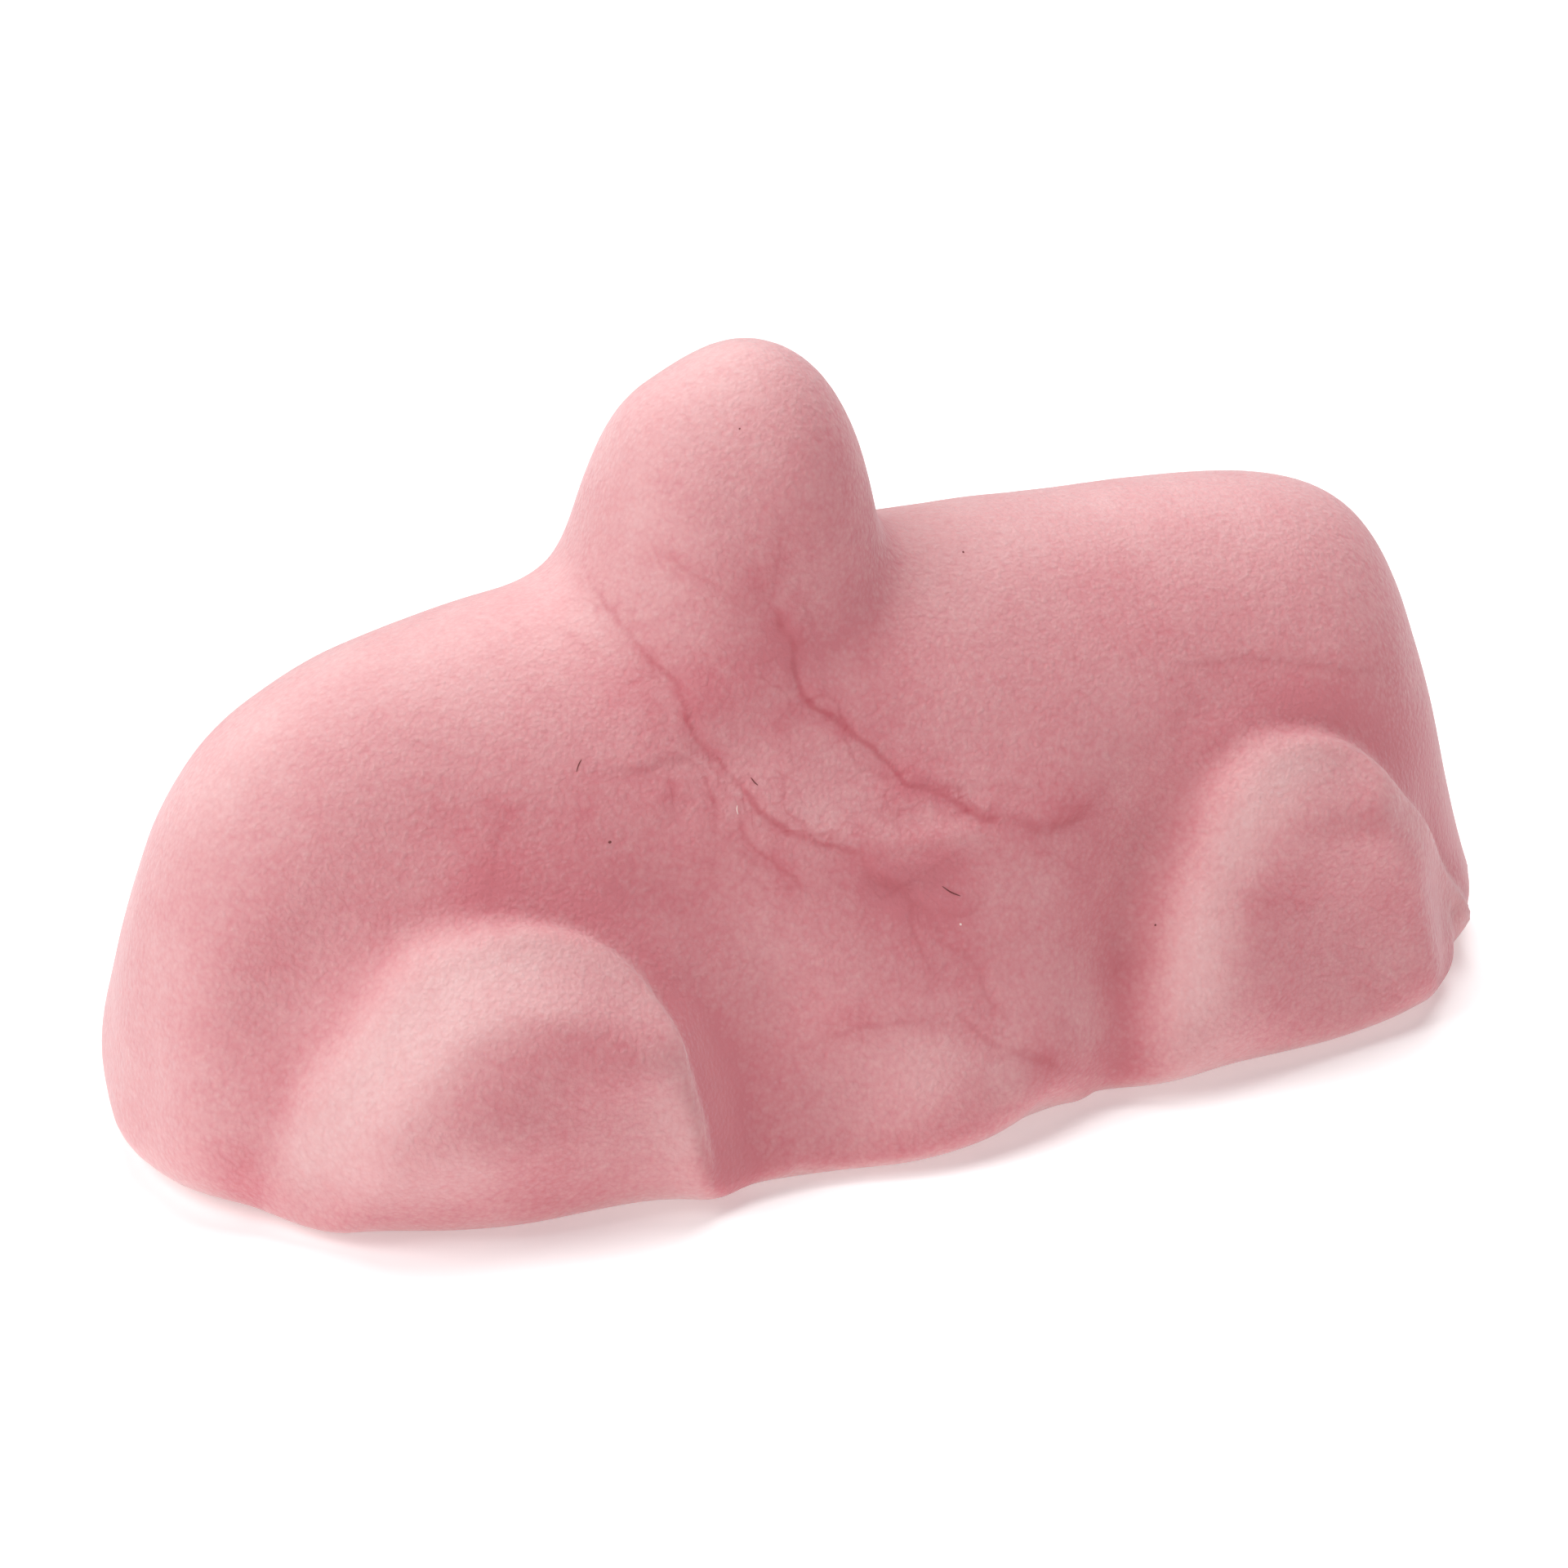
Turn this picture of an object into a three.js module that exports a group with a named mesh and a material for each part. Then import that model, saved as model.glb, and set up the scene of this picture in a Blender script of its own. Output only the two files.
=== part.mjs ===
// Foam car candy: one piece of moulded marshmallow foam in the shape of a small car.
// Millimetres, +Z up. The origin is the middle of the flat underside, +X points to the tall end.
//
// The candy is one smooth body. Its surface is where the function candy(x, y, z) is zero: a rounded
// cushion for the body, an egg-shaped cab and its shoulder, a slight waist and a running board on each
// side, soft swells and hollows of the sides, and four wheels that stand out of the sides as soft
// arches, all cut flat and rounded over at the underside.
// A closed net of squares is laid over that surface, drawn onto it and evened out.
import * as THREE from 'three';
import { mergeVertices } from 'three/addons/utils/BufferGeometryUtils.js';

// Body: an outline in the side view, thickened sideways into a cushion.
const BODY = {
  lowEnd: -7.8, // where the low end starts to fall
  lowTop: 2.13, // roof of the core at the low end
  lowRounding: 12.34, // how long the low end's fall is
  tallEnd: 7.63, // face of the core at the tall end, at the underside
  tallTop: 2.07, // roof of the core at the tall end
  tallRounding: 4.09, // how soft the tall end's top corner is
  tallSlope: 0.3, // lean of the tall end's face
  halfWidth: 5.95, // half the width in the middle
  crown: 1.6, // how high the cushion stands for its width
  power: 2.04, // how square its sides are
  softening: 2.98, // how gently the sides run into the roof
  lowTaper: 0.22, // narrowing towards the low end
  tallTaper: 0.15, // narrowing towards the tall end
};
const CAB = { x: -1.37, z: 12.06, rx: 2.34, ry: 2.73, rz: 3.8, blend: 1.74 };
const SHOULDER = { x: -3.27, z: 8.61, rx: 2.05, ry: 3.03, rz: 6.23, blend: 3 };
const BOARD = { x: -1.91, y: 5.52, rx: 3.0, ry: 1.93, rz: 3.79, blend: 2.95 };
const WAIST = { x: -0.99, z: 6.03, rx: 6.98, rz: 1.75, depth: 0.25 };

// Wheels: arches that stand out of the sides by rise, with a shallow dish in each and a shallow
// trench round it. Lean says how early an arch's flank rises.
const WHEELS = [
  {
    x: -8.63, z: 1.87, lowRadius: 3.32, tallRadius: 2.5, lowFlank: 1.93, tallFlank: 2.59,
    lowLean: 1.1, tallLean: 1.6, spread: 0.29, rise: 1.04, dish: 0.43, dishX: 1.99,
    dishZ: 0.33, dishRadius: 3.67, trench: 0.34, trenchWidth: 1.5,
  },
  {
    x: 9.19, z: 3.03, lowRadius: 1.95, tallRadius: 2.0, lowFlank: 2.7, tallFlank: 2.07,
    lowLean: 0.75, tallLean: 1.03, spread: 0.3, rise: 0.94, dish: 0.51, dishX: 0.32,
    dishZ: 0.25, dishRadius: 3.66, trench: 0.08, trenchWidth: 1.0,
  },
];

// Soft swells of the sides, and soft hollows where the height is below zero.
const SWELLS = [
  { x: -13.11, z: 2.2, radius: 3.4, height: 0.7 },
  { x: -11.04, z: 3.67, radius: 1.72, height: 0.56 },
  { x: -12.09, z: 0.6, radius: 1.5, height: -0.45 },
  { x: -8.96, z: 4.78, radius: 1.67, height: 0.3 },
  { x: -7.06, z: 2.7, radius: 2.12, height: 0.51 },
  { x: -2.14, z: 1.97, radius: 1.7, height: -0.84 },
  { x: -12.47, z: 4.19, radius: 1.78, height: -0.41 },
  { x: 5.75, z: 5.33, radius: 1.7, height: -0.5 },
  { x: 11.62, z: 5.1, radius: 2.98, height: 0.37 },
  { x: 4.59, z: 3.13, radius: 1.6, height: -0.64 },
  { x: 2.49, z: 1.75, radius: 2.17, height: 0.65 },
  { x: 7.08, z: -0.07, radius: 1.67, height: -0.32 },
  { x: 13.0, z: 6.62, radius: 1.81, height: -0.06 },
];
const SIDE_INNER = 0.5; // wheels, waist and swells fade in between these distances
const SIDE_OUTER = 3.5; // from the middle plane

const FOOT = { flare: 0.35, height: 1.3 }; // slight spread of the sides just above the underside
const UNDERSIDE_ROUNDING = 2.52;

// Net over the surface: squares along, across and up, and how long it is evened out.
const NET = { along: 48, across: 22, up: 20, rounds: 14 };
const SPINE = { half: 10.5, height: 5 }; // the net is first spread out from a line inside the candy
const FARTHEST = 14; // farther than any surface is from that line
const PINK = 0xe4a9ad;

const clamp = (v, lo, hi) => Math.min(hi, Math.max(lo, v));

// Smooth minimum and maximum of two distances: they meet in a fillet of size k.
function softMin(a, b, k) {
  const h = Math.max(k - Math.abs(a - b), 0) / k;
  return Math.min(a, b) - (h * h * h * k) / 6;
}
const softMax = (a, b, k) => -softMin(-a, -b, k);

// Smooth rise from 0 to 1 as v goes from a to b.
function ease(a, b, v) {
  const q = clamp((v - a) / (b - a), 0, 1);
  return q * q * q * (10 - 15 * q + 6 * q * q);
}

function ellipsoid(x, y, z, rx, ry, rz) {
  const a = Math.hypot(x / rx, y / ry, z / rz);
  const b = Math.hypot(x / rx ** 2, y / ry ** 2, z / rz ** 2);
  return (a * (a - 1)) / Math.max(b, 1e-6);
}

function body(x, side, z) {
  const t = ease(BODY.lowEnd, BODY.tallEnd, x);
  const roof = z - (BODY.lowTop + (BODY.tallTop - BODY.lowTop) * t);
  const fall = softMax(BODY.lowEnd - x, roof, BODY.lowRounding);
  const core = softMax(fall, x - BODY.tallEnd + BODY.tallSlope * z, BODY.tallRounding);
  const rounded = 0.5 * (core + Math.hypot(core, BODY.softening));
  const middle = (BODY.lowEnd + BODY.tallEnd) / 2;
  const along = (x - middle) / (BODY.tallEnd - middle);
  const taper = (BODY.lowTaper * (1 - t) + BODY.tallTaper * t) * along * along;
  const n = BODY.power;
  return ((rounded / BODY.crown) ** n + side ** n) ** (1 / n) - (BODY.halfWidth - taper);
}

// A round hump seen from the side, 1 in its middle and 0 beyond its radii.
const hump = (x, z, rx, rz) => Math.max(1 - (x / rx) ** 2 - (z / rz) ** 2, 0) ** 2;

// How far a wheel's arch is raised (0 to 1) at a place on the side, and its height there with the
// dish in it and the trench round it.
function wheel(w, x, z) {
  const turn = ease(-1, 1, (x - w.x) / w.tallRadius);
  const radius = w.lowRadius * (1 - turn) + w.tallRadius * turn;
  const flank = w.lowFlank * (1 - turn) + w.tallFlank * turn;
  const lean = w.lowLean * (1 - turn) + w.tallLean * turn;
  const above = softMax(z - w.z, 0, 1);
  const below = softMax(w.z - z, 0, 1);
  const out = Math.max(Math.hypot(x - w.x, above) - w.spread * below, 0);
  const arch = ease(0, 1, clamp((radius + flank - out) / flank, 1e-6, 1) ** lean);
  const dish = hump(x - w.x - w.dishX, z - w.z - w.dishZ, w.dishRadius, w.dishRadius);
  const trench = Math.exp(-(((out - radius - flank) / w.trenchWidth) ** 2));
  return { arch, height: w.rise * arch - w.dish * dish - w.trench * trench };
}

function candy(x, y, z) {
  const side = Math.hypot(y, 0.01);
  const cab = softMin(
    ellipsoid(x - CAB.x, y, z - CAB.z, CAB.rx, CAB.ry, CAB.rz),
    ellipsoid(x - SHOULDER.x, y, z - SHOULDER.z, SHOULDER.rx, SHOULDER.ry, SHOULDER.rz),
    SHOULDER.blend,
  );
  const onSide = ease(SIDE_INNER, SIDE_OUTER, side);
  let d = softMin(body(x, side, z), cab, CAB.blend);
  d += onSide * WAIST.depth * hump(x - WAIST.x, z - WAIST.z, WAIST.rx, WAIST.rz);
  d = softMin(d, ellipsoid(x - BOARD.x, side - BOARD.y, z, BOARD.rx, BOARD.ry, BOARD.rz), BOARD.blend);
  for (const s of SWELLS) {
    d -= onSide * s.height * Math.exp(-((x - s.x) ** 2 + (z - s.z) ** 2) / s.radius ** 2);
  }
  let foot = FOOT.flare * Math.exp(-Math.max(z, 0) / FOOT.height);
  for (const w of WHEELS) {
    const { arch, height } = wheel(w, x, z);
    d -= onSide * height;
    foot *= 1 - onSide * arch;
  }
  return softMax(d - foot, -z, UNDERSIDE_ROUNDING);
}

// Move a point straight down or up the slope of candy() until it lies on the surface.
function drawOnto(p, steps) {
  const e = 1e-3;
  for (let i = 0; i < steps; i += 1) {
    const d = candy(p.x, p.y, p.z);
    const gx = (candy(p.x + e, p.y, p.z) - candy(p.x - e, p.y, p.z)) / (2 * e);
    const gy = (candy(p.x, p.y + e, p.z) - candy(p.x, p.y - e, p.z)) / (2 * e);
    const gz = (candy(p.x, p.y, p.z + e) - candy(p.x, p.y, p.z - e)) / (2 * e);
    const move = clamp(d / Math.max(gx * gx + gy * gy + gz * gz, 0.05), -0.8, 0.8);
    p.set(p.x - move * gx, p.y - move * gy, p.z - move * gz);
  }
}

// Distance from a point inside the candy to its outermost surface along a direction.
function reach(from, direction) {
  const at = (t) => candy(from.x + direction.x * t, from.y + direction.y * t, from.z + direction.z * t);
  let t = FARTHEST;
  while (t > 0 && at(t) > 0) t -= 0.2;
  let [inside, outside] = [t, t + 0.2];
  for (let i = 0; i < 24; i += 1) {
    const middle = (inside + outside) / 2;
    if (at(middle) > 0) outside = middle;
    else inside = middle;
  }
  return (inside + outside) / 2;
}

function netGeometry() {
  const box = new THREE.BoxGeometry(2, 2, 2, NET.along, NET.across, NET.up);
  box.deleteAttribute('normal');
  box.deleteAttribute('uv');
  const net = mergeVertices(box, 1e-5);
  const position = net.attributes.position;
  const index = net.index.array;
  const points = [];
  const corner = new THREE.Vector3();
  for (let i = 0; i < position.count; i += 1) {
    corner.fromBufferAttribute(position, i);
    const from = new THREE.Vector3(corner.x * SPINE.half, 0, SPINE.height);
    const direction = new THREE.Vector3(1.2 * corner.x ** 5, corner.y, corner.z).normalize();
    points.push(from.addScaledVector(direction, reach(from, direction)));
  }
  const near = points.map(() => new Set());
  for (let i = 0; i < index.length; i += 3) {
    for (let k = 0; k < 3; k += 1) {
      near[index[i + k]].add(index[i + ((k + 1) % 3)]);
      near[index[i + ((k + 1) % 3)]].add(index[i + k]);
    }
  }
  // Long sides of the net pull harder than short ones, so its squares grow alike.
  for (let round = 0; round < NET.rounds; round += 1) {
    const moved = points.map((p, i) => {
      const mean = new THREE.Vector3();
      let pull = 0;
      near[i].forEach((j) => {
        const weight = p.distanceTo(points[j]);
        mean.addScaledVector(points[j], weight);
        pull += weight;
      });
      return mean.divideScalar(pull).lerp(p, 0.5);
    });
    moved.forEach((p, i) => points[i].copy(p));
    points.forEach((p) => drawOnto(p, 2));
  }
  points.forEach((p, i) => {
    drawOnto(p, 6);
    position.setXYZ(i, p.x, p.y, Math.abs(p.z) < 1e-3 ? 0 : p.z);
  });
  net.computeVertexNormals();
  return net;
}

const candyMesh = new THREE.Mesh(
  netGeometry(),
  new THREE.MeshStandardMaterial({ color: PINK, roughness: 0.85, metalness: 0.0 }),
);
candyMesh.name = 'foam_car';

const candyCar = new THREE.Group();
candyCar.add(candyMesh);

export default candyCar;
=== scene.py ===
"""Foam car candy: one piece of moulded marshmallow foam in the shape of a small car.

The skin of the candy is where a smooth function of place is zero. Geometry Nodes lay a closed net
round a line inside the candy, draw it onto that surface, even it out and refine it, and then press
the creases, dents and unevenness of the soft foam into it. A second tree lays fibres and crumbs on
the skin. Sizes of the candy are in millimetres, and the finished meshes are in metres.
"""

import logging
import math
from collections.abc import Callable
from dataclasses import dataclass, field, fields
from enum import Enum
from types import SimpleNamespace

import bpy
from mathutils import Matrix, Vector

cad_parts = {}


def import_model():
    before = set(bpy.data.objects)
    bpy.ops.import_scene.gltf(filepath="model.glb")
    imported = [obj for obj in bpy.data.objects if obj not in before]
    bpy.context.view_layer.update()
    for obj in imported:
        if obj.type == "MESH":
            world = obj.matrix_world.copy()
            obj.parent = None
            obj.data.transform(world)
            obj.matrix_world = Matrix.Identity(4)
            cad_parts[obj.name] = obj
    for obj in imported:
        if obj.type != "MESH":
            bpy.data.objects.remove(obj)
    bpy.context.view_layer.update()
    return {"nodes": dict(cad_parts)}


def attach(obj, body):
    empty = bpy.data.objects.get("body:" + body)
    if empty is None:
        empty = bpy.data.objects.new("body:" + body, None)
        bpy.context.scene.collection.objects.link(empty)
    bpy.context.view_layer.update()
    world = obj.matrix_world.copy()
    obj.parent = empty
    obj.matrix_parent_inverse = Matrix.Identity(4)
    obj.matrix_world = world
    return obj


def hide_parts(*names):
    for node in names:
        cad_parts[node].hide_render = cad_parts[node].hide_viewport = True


LOG = logging.getLogger("foam_car")
MILLIMETRE = 0.001
BODY_NAME = "root"
CAD_NODE = "foam_car"

# Names of what the net carries for its finish.
CREASE_OFFSET = "crease_offset"
CREASE_GAP = "crease_gap"
CREASE_STRENGTH = "crease_strength"
CREASE_WIDTH = "crease_width"
# How shut in each point is; the finish darkens by it as painted shade.
HOLLOW_SHADE = "hollow"
FACING = "facing"
# Painted highlight on arch crests, painted shade in the grooves round them, and spots of starch and painted
# light.
STARCH_AND_PAINTED_LIGHT_SPOTS = "bare"
PALE = "pale"

# How far off the skin its hollows are felt for, for painted shade, and the share of each of the two places.
HOLLOW_SHADE_REACHES = ((0.8, 0.4), (2.4, 0.6))
# How far to the side of the candy its routes start.
BESIDE = 9.0
POINTS_IN_FIBRE = 9

Colour = tuple[float, float, float]
Point2 = tuple[float, float]
Point3 = tuple[float, float, float]


@dataclass(frozen=True)
class Term:
    """A value in a node tree. Arithmetic on it adds nodes to the tree."""

    tree: "Tree"
    socket: bpy.types.NodeSocket

    @property
    def is_vector(self) -> bool:
        """Whether the value is a vector."""
        return self.socket.type == "VECTOR"

    def __add__(self, other: "Value") -> "Term":
        """Sum of two values."""
        return self.tree.combine("ADD", self, other)

    def __radd__(self, other: "Value") -> "Term":
        """Sum of two values."""
        return self.tree.combine("ADD", other, self)

    def __sub__(self, other: "Value") -> "Term":
        """Difference of two values."""
        return self.tree.combine("SUBTRACT", self, other)

    def __rsub__(self, other: "Value") -> "Term":
        """Difference of two values."""
        return self.tree.combine("SUBTRACT", other, self)

    def __mul__(self, other: "Value") -> "Term":
        """Product of two values."""
        return self.tree.combine("MULTIPLY", self, other)

    def __rmul__(self, other: "Value") -> "Term":
        """Product of two values."""
        return self.tree.combine("MULTIPLY", other, self)

    def __truediv__(self, other: "Value") -> "Term":
        """Quotient of two values."""
        return self.tree.combine("DIVIDE", self, other)

    def __rtruediv__(self, other: "Value") -> "Term":
        """Quotient of two values."""
        return self.tree.combine("DIVIDE", other, self)

    def __pow__(self, other: "Value") -> "Term":
        """A value raised to a power."""
        return self.tree.math("POWER", self, other)

    def __neg__(self) -> "Term":
        """The value with its sign changed."""
        return self * -1.0

    def parts(self) -> tuple["Term", "Term", "Term"]:
        """The three parts of a vector."""
        split = self.tree.add("ShaderNodeSeparateXYZ", self)
        return tuple(Term(self.tree, socket) for socket in split.outputs)


Value = Term | float | Point3


class Tree:
    """A node tree that is filled from code, one node at a time."""

    def __init__(self, group: bpy.types.NodeTree) -> None:
        """Starts on an empty tree.

        Args:
            group: the tree that the nodes go into.
        """
        self.group = group
        self.entry: bpy.types.Node | None = None
        self.exit: bpy.types.Node | None = None

    @classmethod
    def new(cls, name: str, kind: str = "GeometryNodeTree") -> "Tree":
        """Makes a node group with an entry and an exit.

        Args:
            name: the group's name.
            kind: Blender's type of tree.

        Returns:
            The tree, ready for its inputs.
        """
        tree = cls(bpy.data.node_groups.new(name, kind))
        tree.entry = tree.group.nodes.new("NodeGroupInput")
        tree.exit = tree.group.nodes.new("NodeGroupOutput")
        return tree

    def feed(self, socket: bpy.types.NodeSocket, value: object) -> None:
        """Links a term to a socket, or sets the socket to a plain value.

        Args:
            socket: the socket of a node.
            value: the term or plain value. None leaves the socket alone.
        """
        if isinstance(value, Term):
            self.group.links.new(value.socket, socket)
        elif value is not None:
            socket.default_value = value

    def add(self, kind: str, *values: object, **settings: object) -> bpy.types.Node:
        """Adds a node.

        Args:
            kind: Blender's name for the node type.
            values: what goes into its inputs, in order. None leaves an input alone.
            settings: the node's own settings.

        Returns:
            The node.
        """
        node = self.group.nodes.new(kind)
        count = len(self.group.nodes)
        node.location = (200 * (count % 16), -260 * (count // 16))
        for name, setting in settings.items():
            setattr(node, name, setting)
        for socket, value in zip(node.inputs, values):
            self.feed(socket, value)
        return node

    def term(self, kind: str, *values: object, **settings: object) -> Term:
        """Adds a node and gives its first output that is in use."""
        node = self.add(kind, *values, **settings)
        return Term(self, next(socket for socket in node.outputs if socket.enabled))

    def named(self, kind: str, inputs: dict[str, object], output: str, **settings: object) -> Term:
        """Adds a node whose inputs are told by name.

        Args:
            kind: Blender's name for the node type.
            inputs: what goes into each named input.
            output: the name of the output that is wanted.
            settings: the node's own settings.

        Returns:
            That output.
        """
        node = self.add(kind, **settings)
        for name, value in inputs.items():
            self.feed(next(s for s in node.inputs if s.name == name and s.enabled), value)
        return Term(self, next(s for s in node.outputs if s.name == output and s.enabled))

    def math(self, operation: str, *values: Value) -> Term:
        """Adds one step of arithmetic on numbers."""
        return self.term("ShaderNodeMath", *values, operation=operation)

    def vector_math(self, operation: str, *values: Value) -> Term:
        """Adds one step of arithmetic on vectors."""
        return self.term("ShaderNodeVectorMath", *values, operation=operation)

    def combine(self, operation: str, a: Value, b: Value) -> Term:
        """Adds a sum, difference, product or quotient of numbers or vectors.

        Args:
            operation: ADD, SUBTRACT, MULTIPLY or DIVIDE.
            a: the first value.
            b: the second value.

        Returns:
            The result, a vector if either value is one.
        """
        vectors = [v for v in (a, b) if isinstance(v, tuple) or (isinstance(v, Term) and v.is_vector)]
        if not vectors:
            return self.math(operation, a, b)
        if operation == "MULTIPLY" and len(vectors) == 1:
            factor = b if vectors[0] is a else a
            node = self.add("ShaderNodeVectorMath", vectors[0], operation="SCALE")
            self.feed(node.inputs["Scale"], factor)
            return Term(self, node.outputs[0])
        return self.vector_math(operation, a, b)

    def vector(self, x: Value, y: Value, z: Value) -> Term:
        """Adds a vector made of three numbers."""
        return self.term("ShaderNodeCombineXYZ", x, y, z)

    def ease(self, low: Value, high: Value, value: Value) -> Term:
        """Adds a smooth rise from 0 to 1 as a value goes from low to high."""
        return self.term("ShaderNodeMapRange", value, low, high, interpolation_type="SMOOTHERSTEP")

    def mix(self, a: Value, b: Value, share: Value) -> Term:
        """Adds a mean of two values, of which b has the given share."""
        return a * (1.0 - share) + b * share

    def input(self, name: str, default: object, kind: str = "NodeSocketFloat") -> Term:
        """Adds a named input to the group.

        Args:
            name: the input's name.
            default: its value where nothing is linked, or None.
            kind: Blender's type of socket.

        Returns:
            The input's value inside the group.
        """
        socket = self.group.interface.new_socket(name, in_out="INPUT", socket_type=kind)
        if default is not None:
            socket.default_value = default
        return Term(self, self.entry.outputs[name])

    def sizes(self, title: str, holder: object) -> SimpleNamespace:
        """Adds one input for each size that a dataclass holds.

        Args:
            title: the first word of the inputs' names.
            holder: the dataclass with the sizes.

        Returns:
            The inputs, under the dataclass's own names.
        """
        terms = {}
        for size in fields(holder):
            name = f"{title} {size.name.replace('_', ' ')}"
            terms[size.name] = self.input(name, getattr(holder, size.name))
        return SimpleNamespace(**terms)

    def output(self, name: str, value: Term, kind: str = "NodeSocketFloat") -> None:
        """Adds a named output to the group and links a value to it."""
        self.group.interface.new_socket(name, in_out="OUTPUT", socket_type=kind)
        self.feed(self.exit.inputs[name], value)

    def group_node(self, group: bpy.types.NodeTree, inputs: dict[str, object]) -> bpy.types.Node:
        """Adds a node group and feeds its named inputs.

        Args:
            group: the group that the node stands for.
            inputs: what goes into each named input.

        Returns:
            The node.
        """
        kind = "GeometryNodeGroup" if group.type == "GEOMETRY" else "ShaderNodeGroup"
        node = self.group.nodes.new(kind)
        node.node_tree = group
        for name, value in inputs.items():
            self.feed(node.inputs[name], value)
        return node

    def repeat(self, times: Value, geometry: Term, step: Callable[[Term], Term]) -> Term:
        """Adds a zone that does a step on the geometry again and again.

        Args:
            times: how many times.
            geometry: what it starts from.
            step: builds one round from the geometry it is given.

        Returns:
            The geometry after the last round.
        """
        start = self.add("GeometryNodeRepeatInput")
        end = self.add("GeometryNodeRepeatOutput")
        start.pair_with_output(end)
        self.feed(start.inputs["Iterations"], times)
        self.feed(start.inputs["Geometry"], geometry)
        self.feed(end.inputs["Geometry"], step(Term(self, start.outputs["Geometry"])))
        return Term(self, end.outputs["Geometry"])

    def moved(self, geometry: Term, place: Term | None = None, offset: Term | None = None) -> Term:
        """Adds a move of every point to a place or by an offset."""
        return self.term("GeometryNodeSetPosition", geometry, None, place, offset)

    def stored(self, geometry: Term, name: str, value: Term, kind: str = "FLOAT") -> Term:
        """Adds an attribute of the points that the finish reads later.

        Args:
            geometry: what carries it.
            name: the attribute's name.
            value: its value at each point.
            kind: FLOAT, or FLOAT_VECTOR for a vector.

        Returns:
            The geometry with the attribute.
        """
        inputs = {"Geometry": geometry, "Name": name, "Value": value}
        settings = {"data_type": kind, "domain": "POINT"}
        return self.named("GeometryNodeStoreNamedAttribute", inputs, "Geometry", **settings)

    def blurred(self, value: Term, rounds: int) -> Term:
        """Adds a blur of a value over neighbouring points."""
        inputs = {"Value": value, "Iterations": rounds}
        return self.named("GeometryNodeBlurAttribute", inputs, "Value", data_type="FLOAT")

    def noise(self, place: Term, scale: float, detail: float = 2.0, output: str = "Fac") -> Term:
        """Adds smooth noise at a place.

        Args:
            place: where it is read.
            scale: features in each unit of length.
            detail: how many finer layers it has.
            output: Fac for a number or Color for three.

        Returns:
            The noise, about 0.5 on average.
        """
        inputs = {"Vector": place, "Scale": scale, "Detail": detail}
        return self.named("ShaderNodeTexNoise", inputs, output)


@dataclass(frozen=True)
class Body:
    """The body: an outline in the side view, thickened sideways into a cushion."""

    low_end: float = -7.8
    low_top: float = 2.13
    low_rounding: float = 12.34
    tall_end: float = 7.63
    tall_top: float = 2.07
    tall_rounding: float = 4.09
    tall_slope: float = 0.3
    half_width: float = 5.95
    crown: float = 1.6
    power: float = 2.04
    softening: float = 2.98
    low_taper: float = 0.22
    tall_taper: float = 0.15


@dataclass(frozen=True)
class Egg:
    """An egg-shaped lump: its middle, its radii and how it runs into the rest."""

    x: float
    y: float
    z: float
    radius_x: float
    radius_y: float
    radius_z: float
    blend: float


@dataclass(frozen=True)
class Wheel:
    """A wheel: a soft arch that stands out of the side, a shallow dish in it, a trench round it."""

    x: float
    z: float
    low_radius: float
    tall_radius: float
    low_flank: float
    tall_flank: float
    low_lean: float
    tall_lean: float
    spread: float
    rise: float
    dish: float
    dish_x: float
    dish_z: float
    dish_radius: float
    trench: float
    trench_width: float


@dataclass(frozen=True)
class Waist:
    """The shallow hollow along each side, above the running board."""

    x: float
    z: float
    radius_x: float
    radius_z: float
    depth: float


@dataclass(frozen=True)
class Swell:
    """A soft swell of both sides, or a soft hollow where its height is below zero."""

    x: float
    z: float
    radius: float
    height: float


@dataclass(frozen=True)
class Foot:
    """The underside: flat, with a rounded edge and sides that spread a little just above it."""

    flare: float = 0.35
    height: float = 1.3
    rounding: float = 2.52


SWELLS = (
    Swell(-13.11, 2.2, 3.4, 0.7),
    Swell(-11.04, 3.67, 1.72, 0.56),
    Swell(-12.09, 0.6, 1.5, -0.45),
    Swell(-8.96, 4.78, 1.67, 0.3),
    Swell(-7.06, 2.7, 2.12, 0.51),
    Swell(-2.14, 1.97, 1.7, -0.84),
    Swell(-12.47, 4.19, 1.78, -0.41),
    Swell(5.75, 5.33, 1.7, -0.5),
    Swell(11.62, 5.1, 2.98, 0.37),
    Swell(4.59, 3.13, 1.6, -0.64),
    Swell(2.49, 1.75, 2.17, 0.65),
    Swell(7.08, -0.07, 1.67, -0.32),
    Swell(13.0, 6.62, 1.81, -0.06),
)


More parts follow.
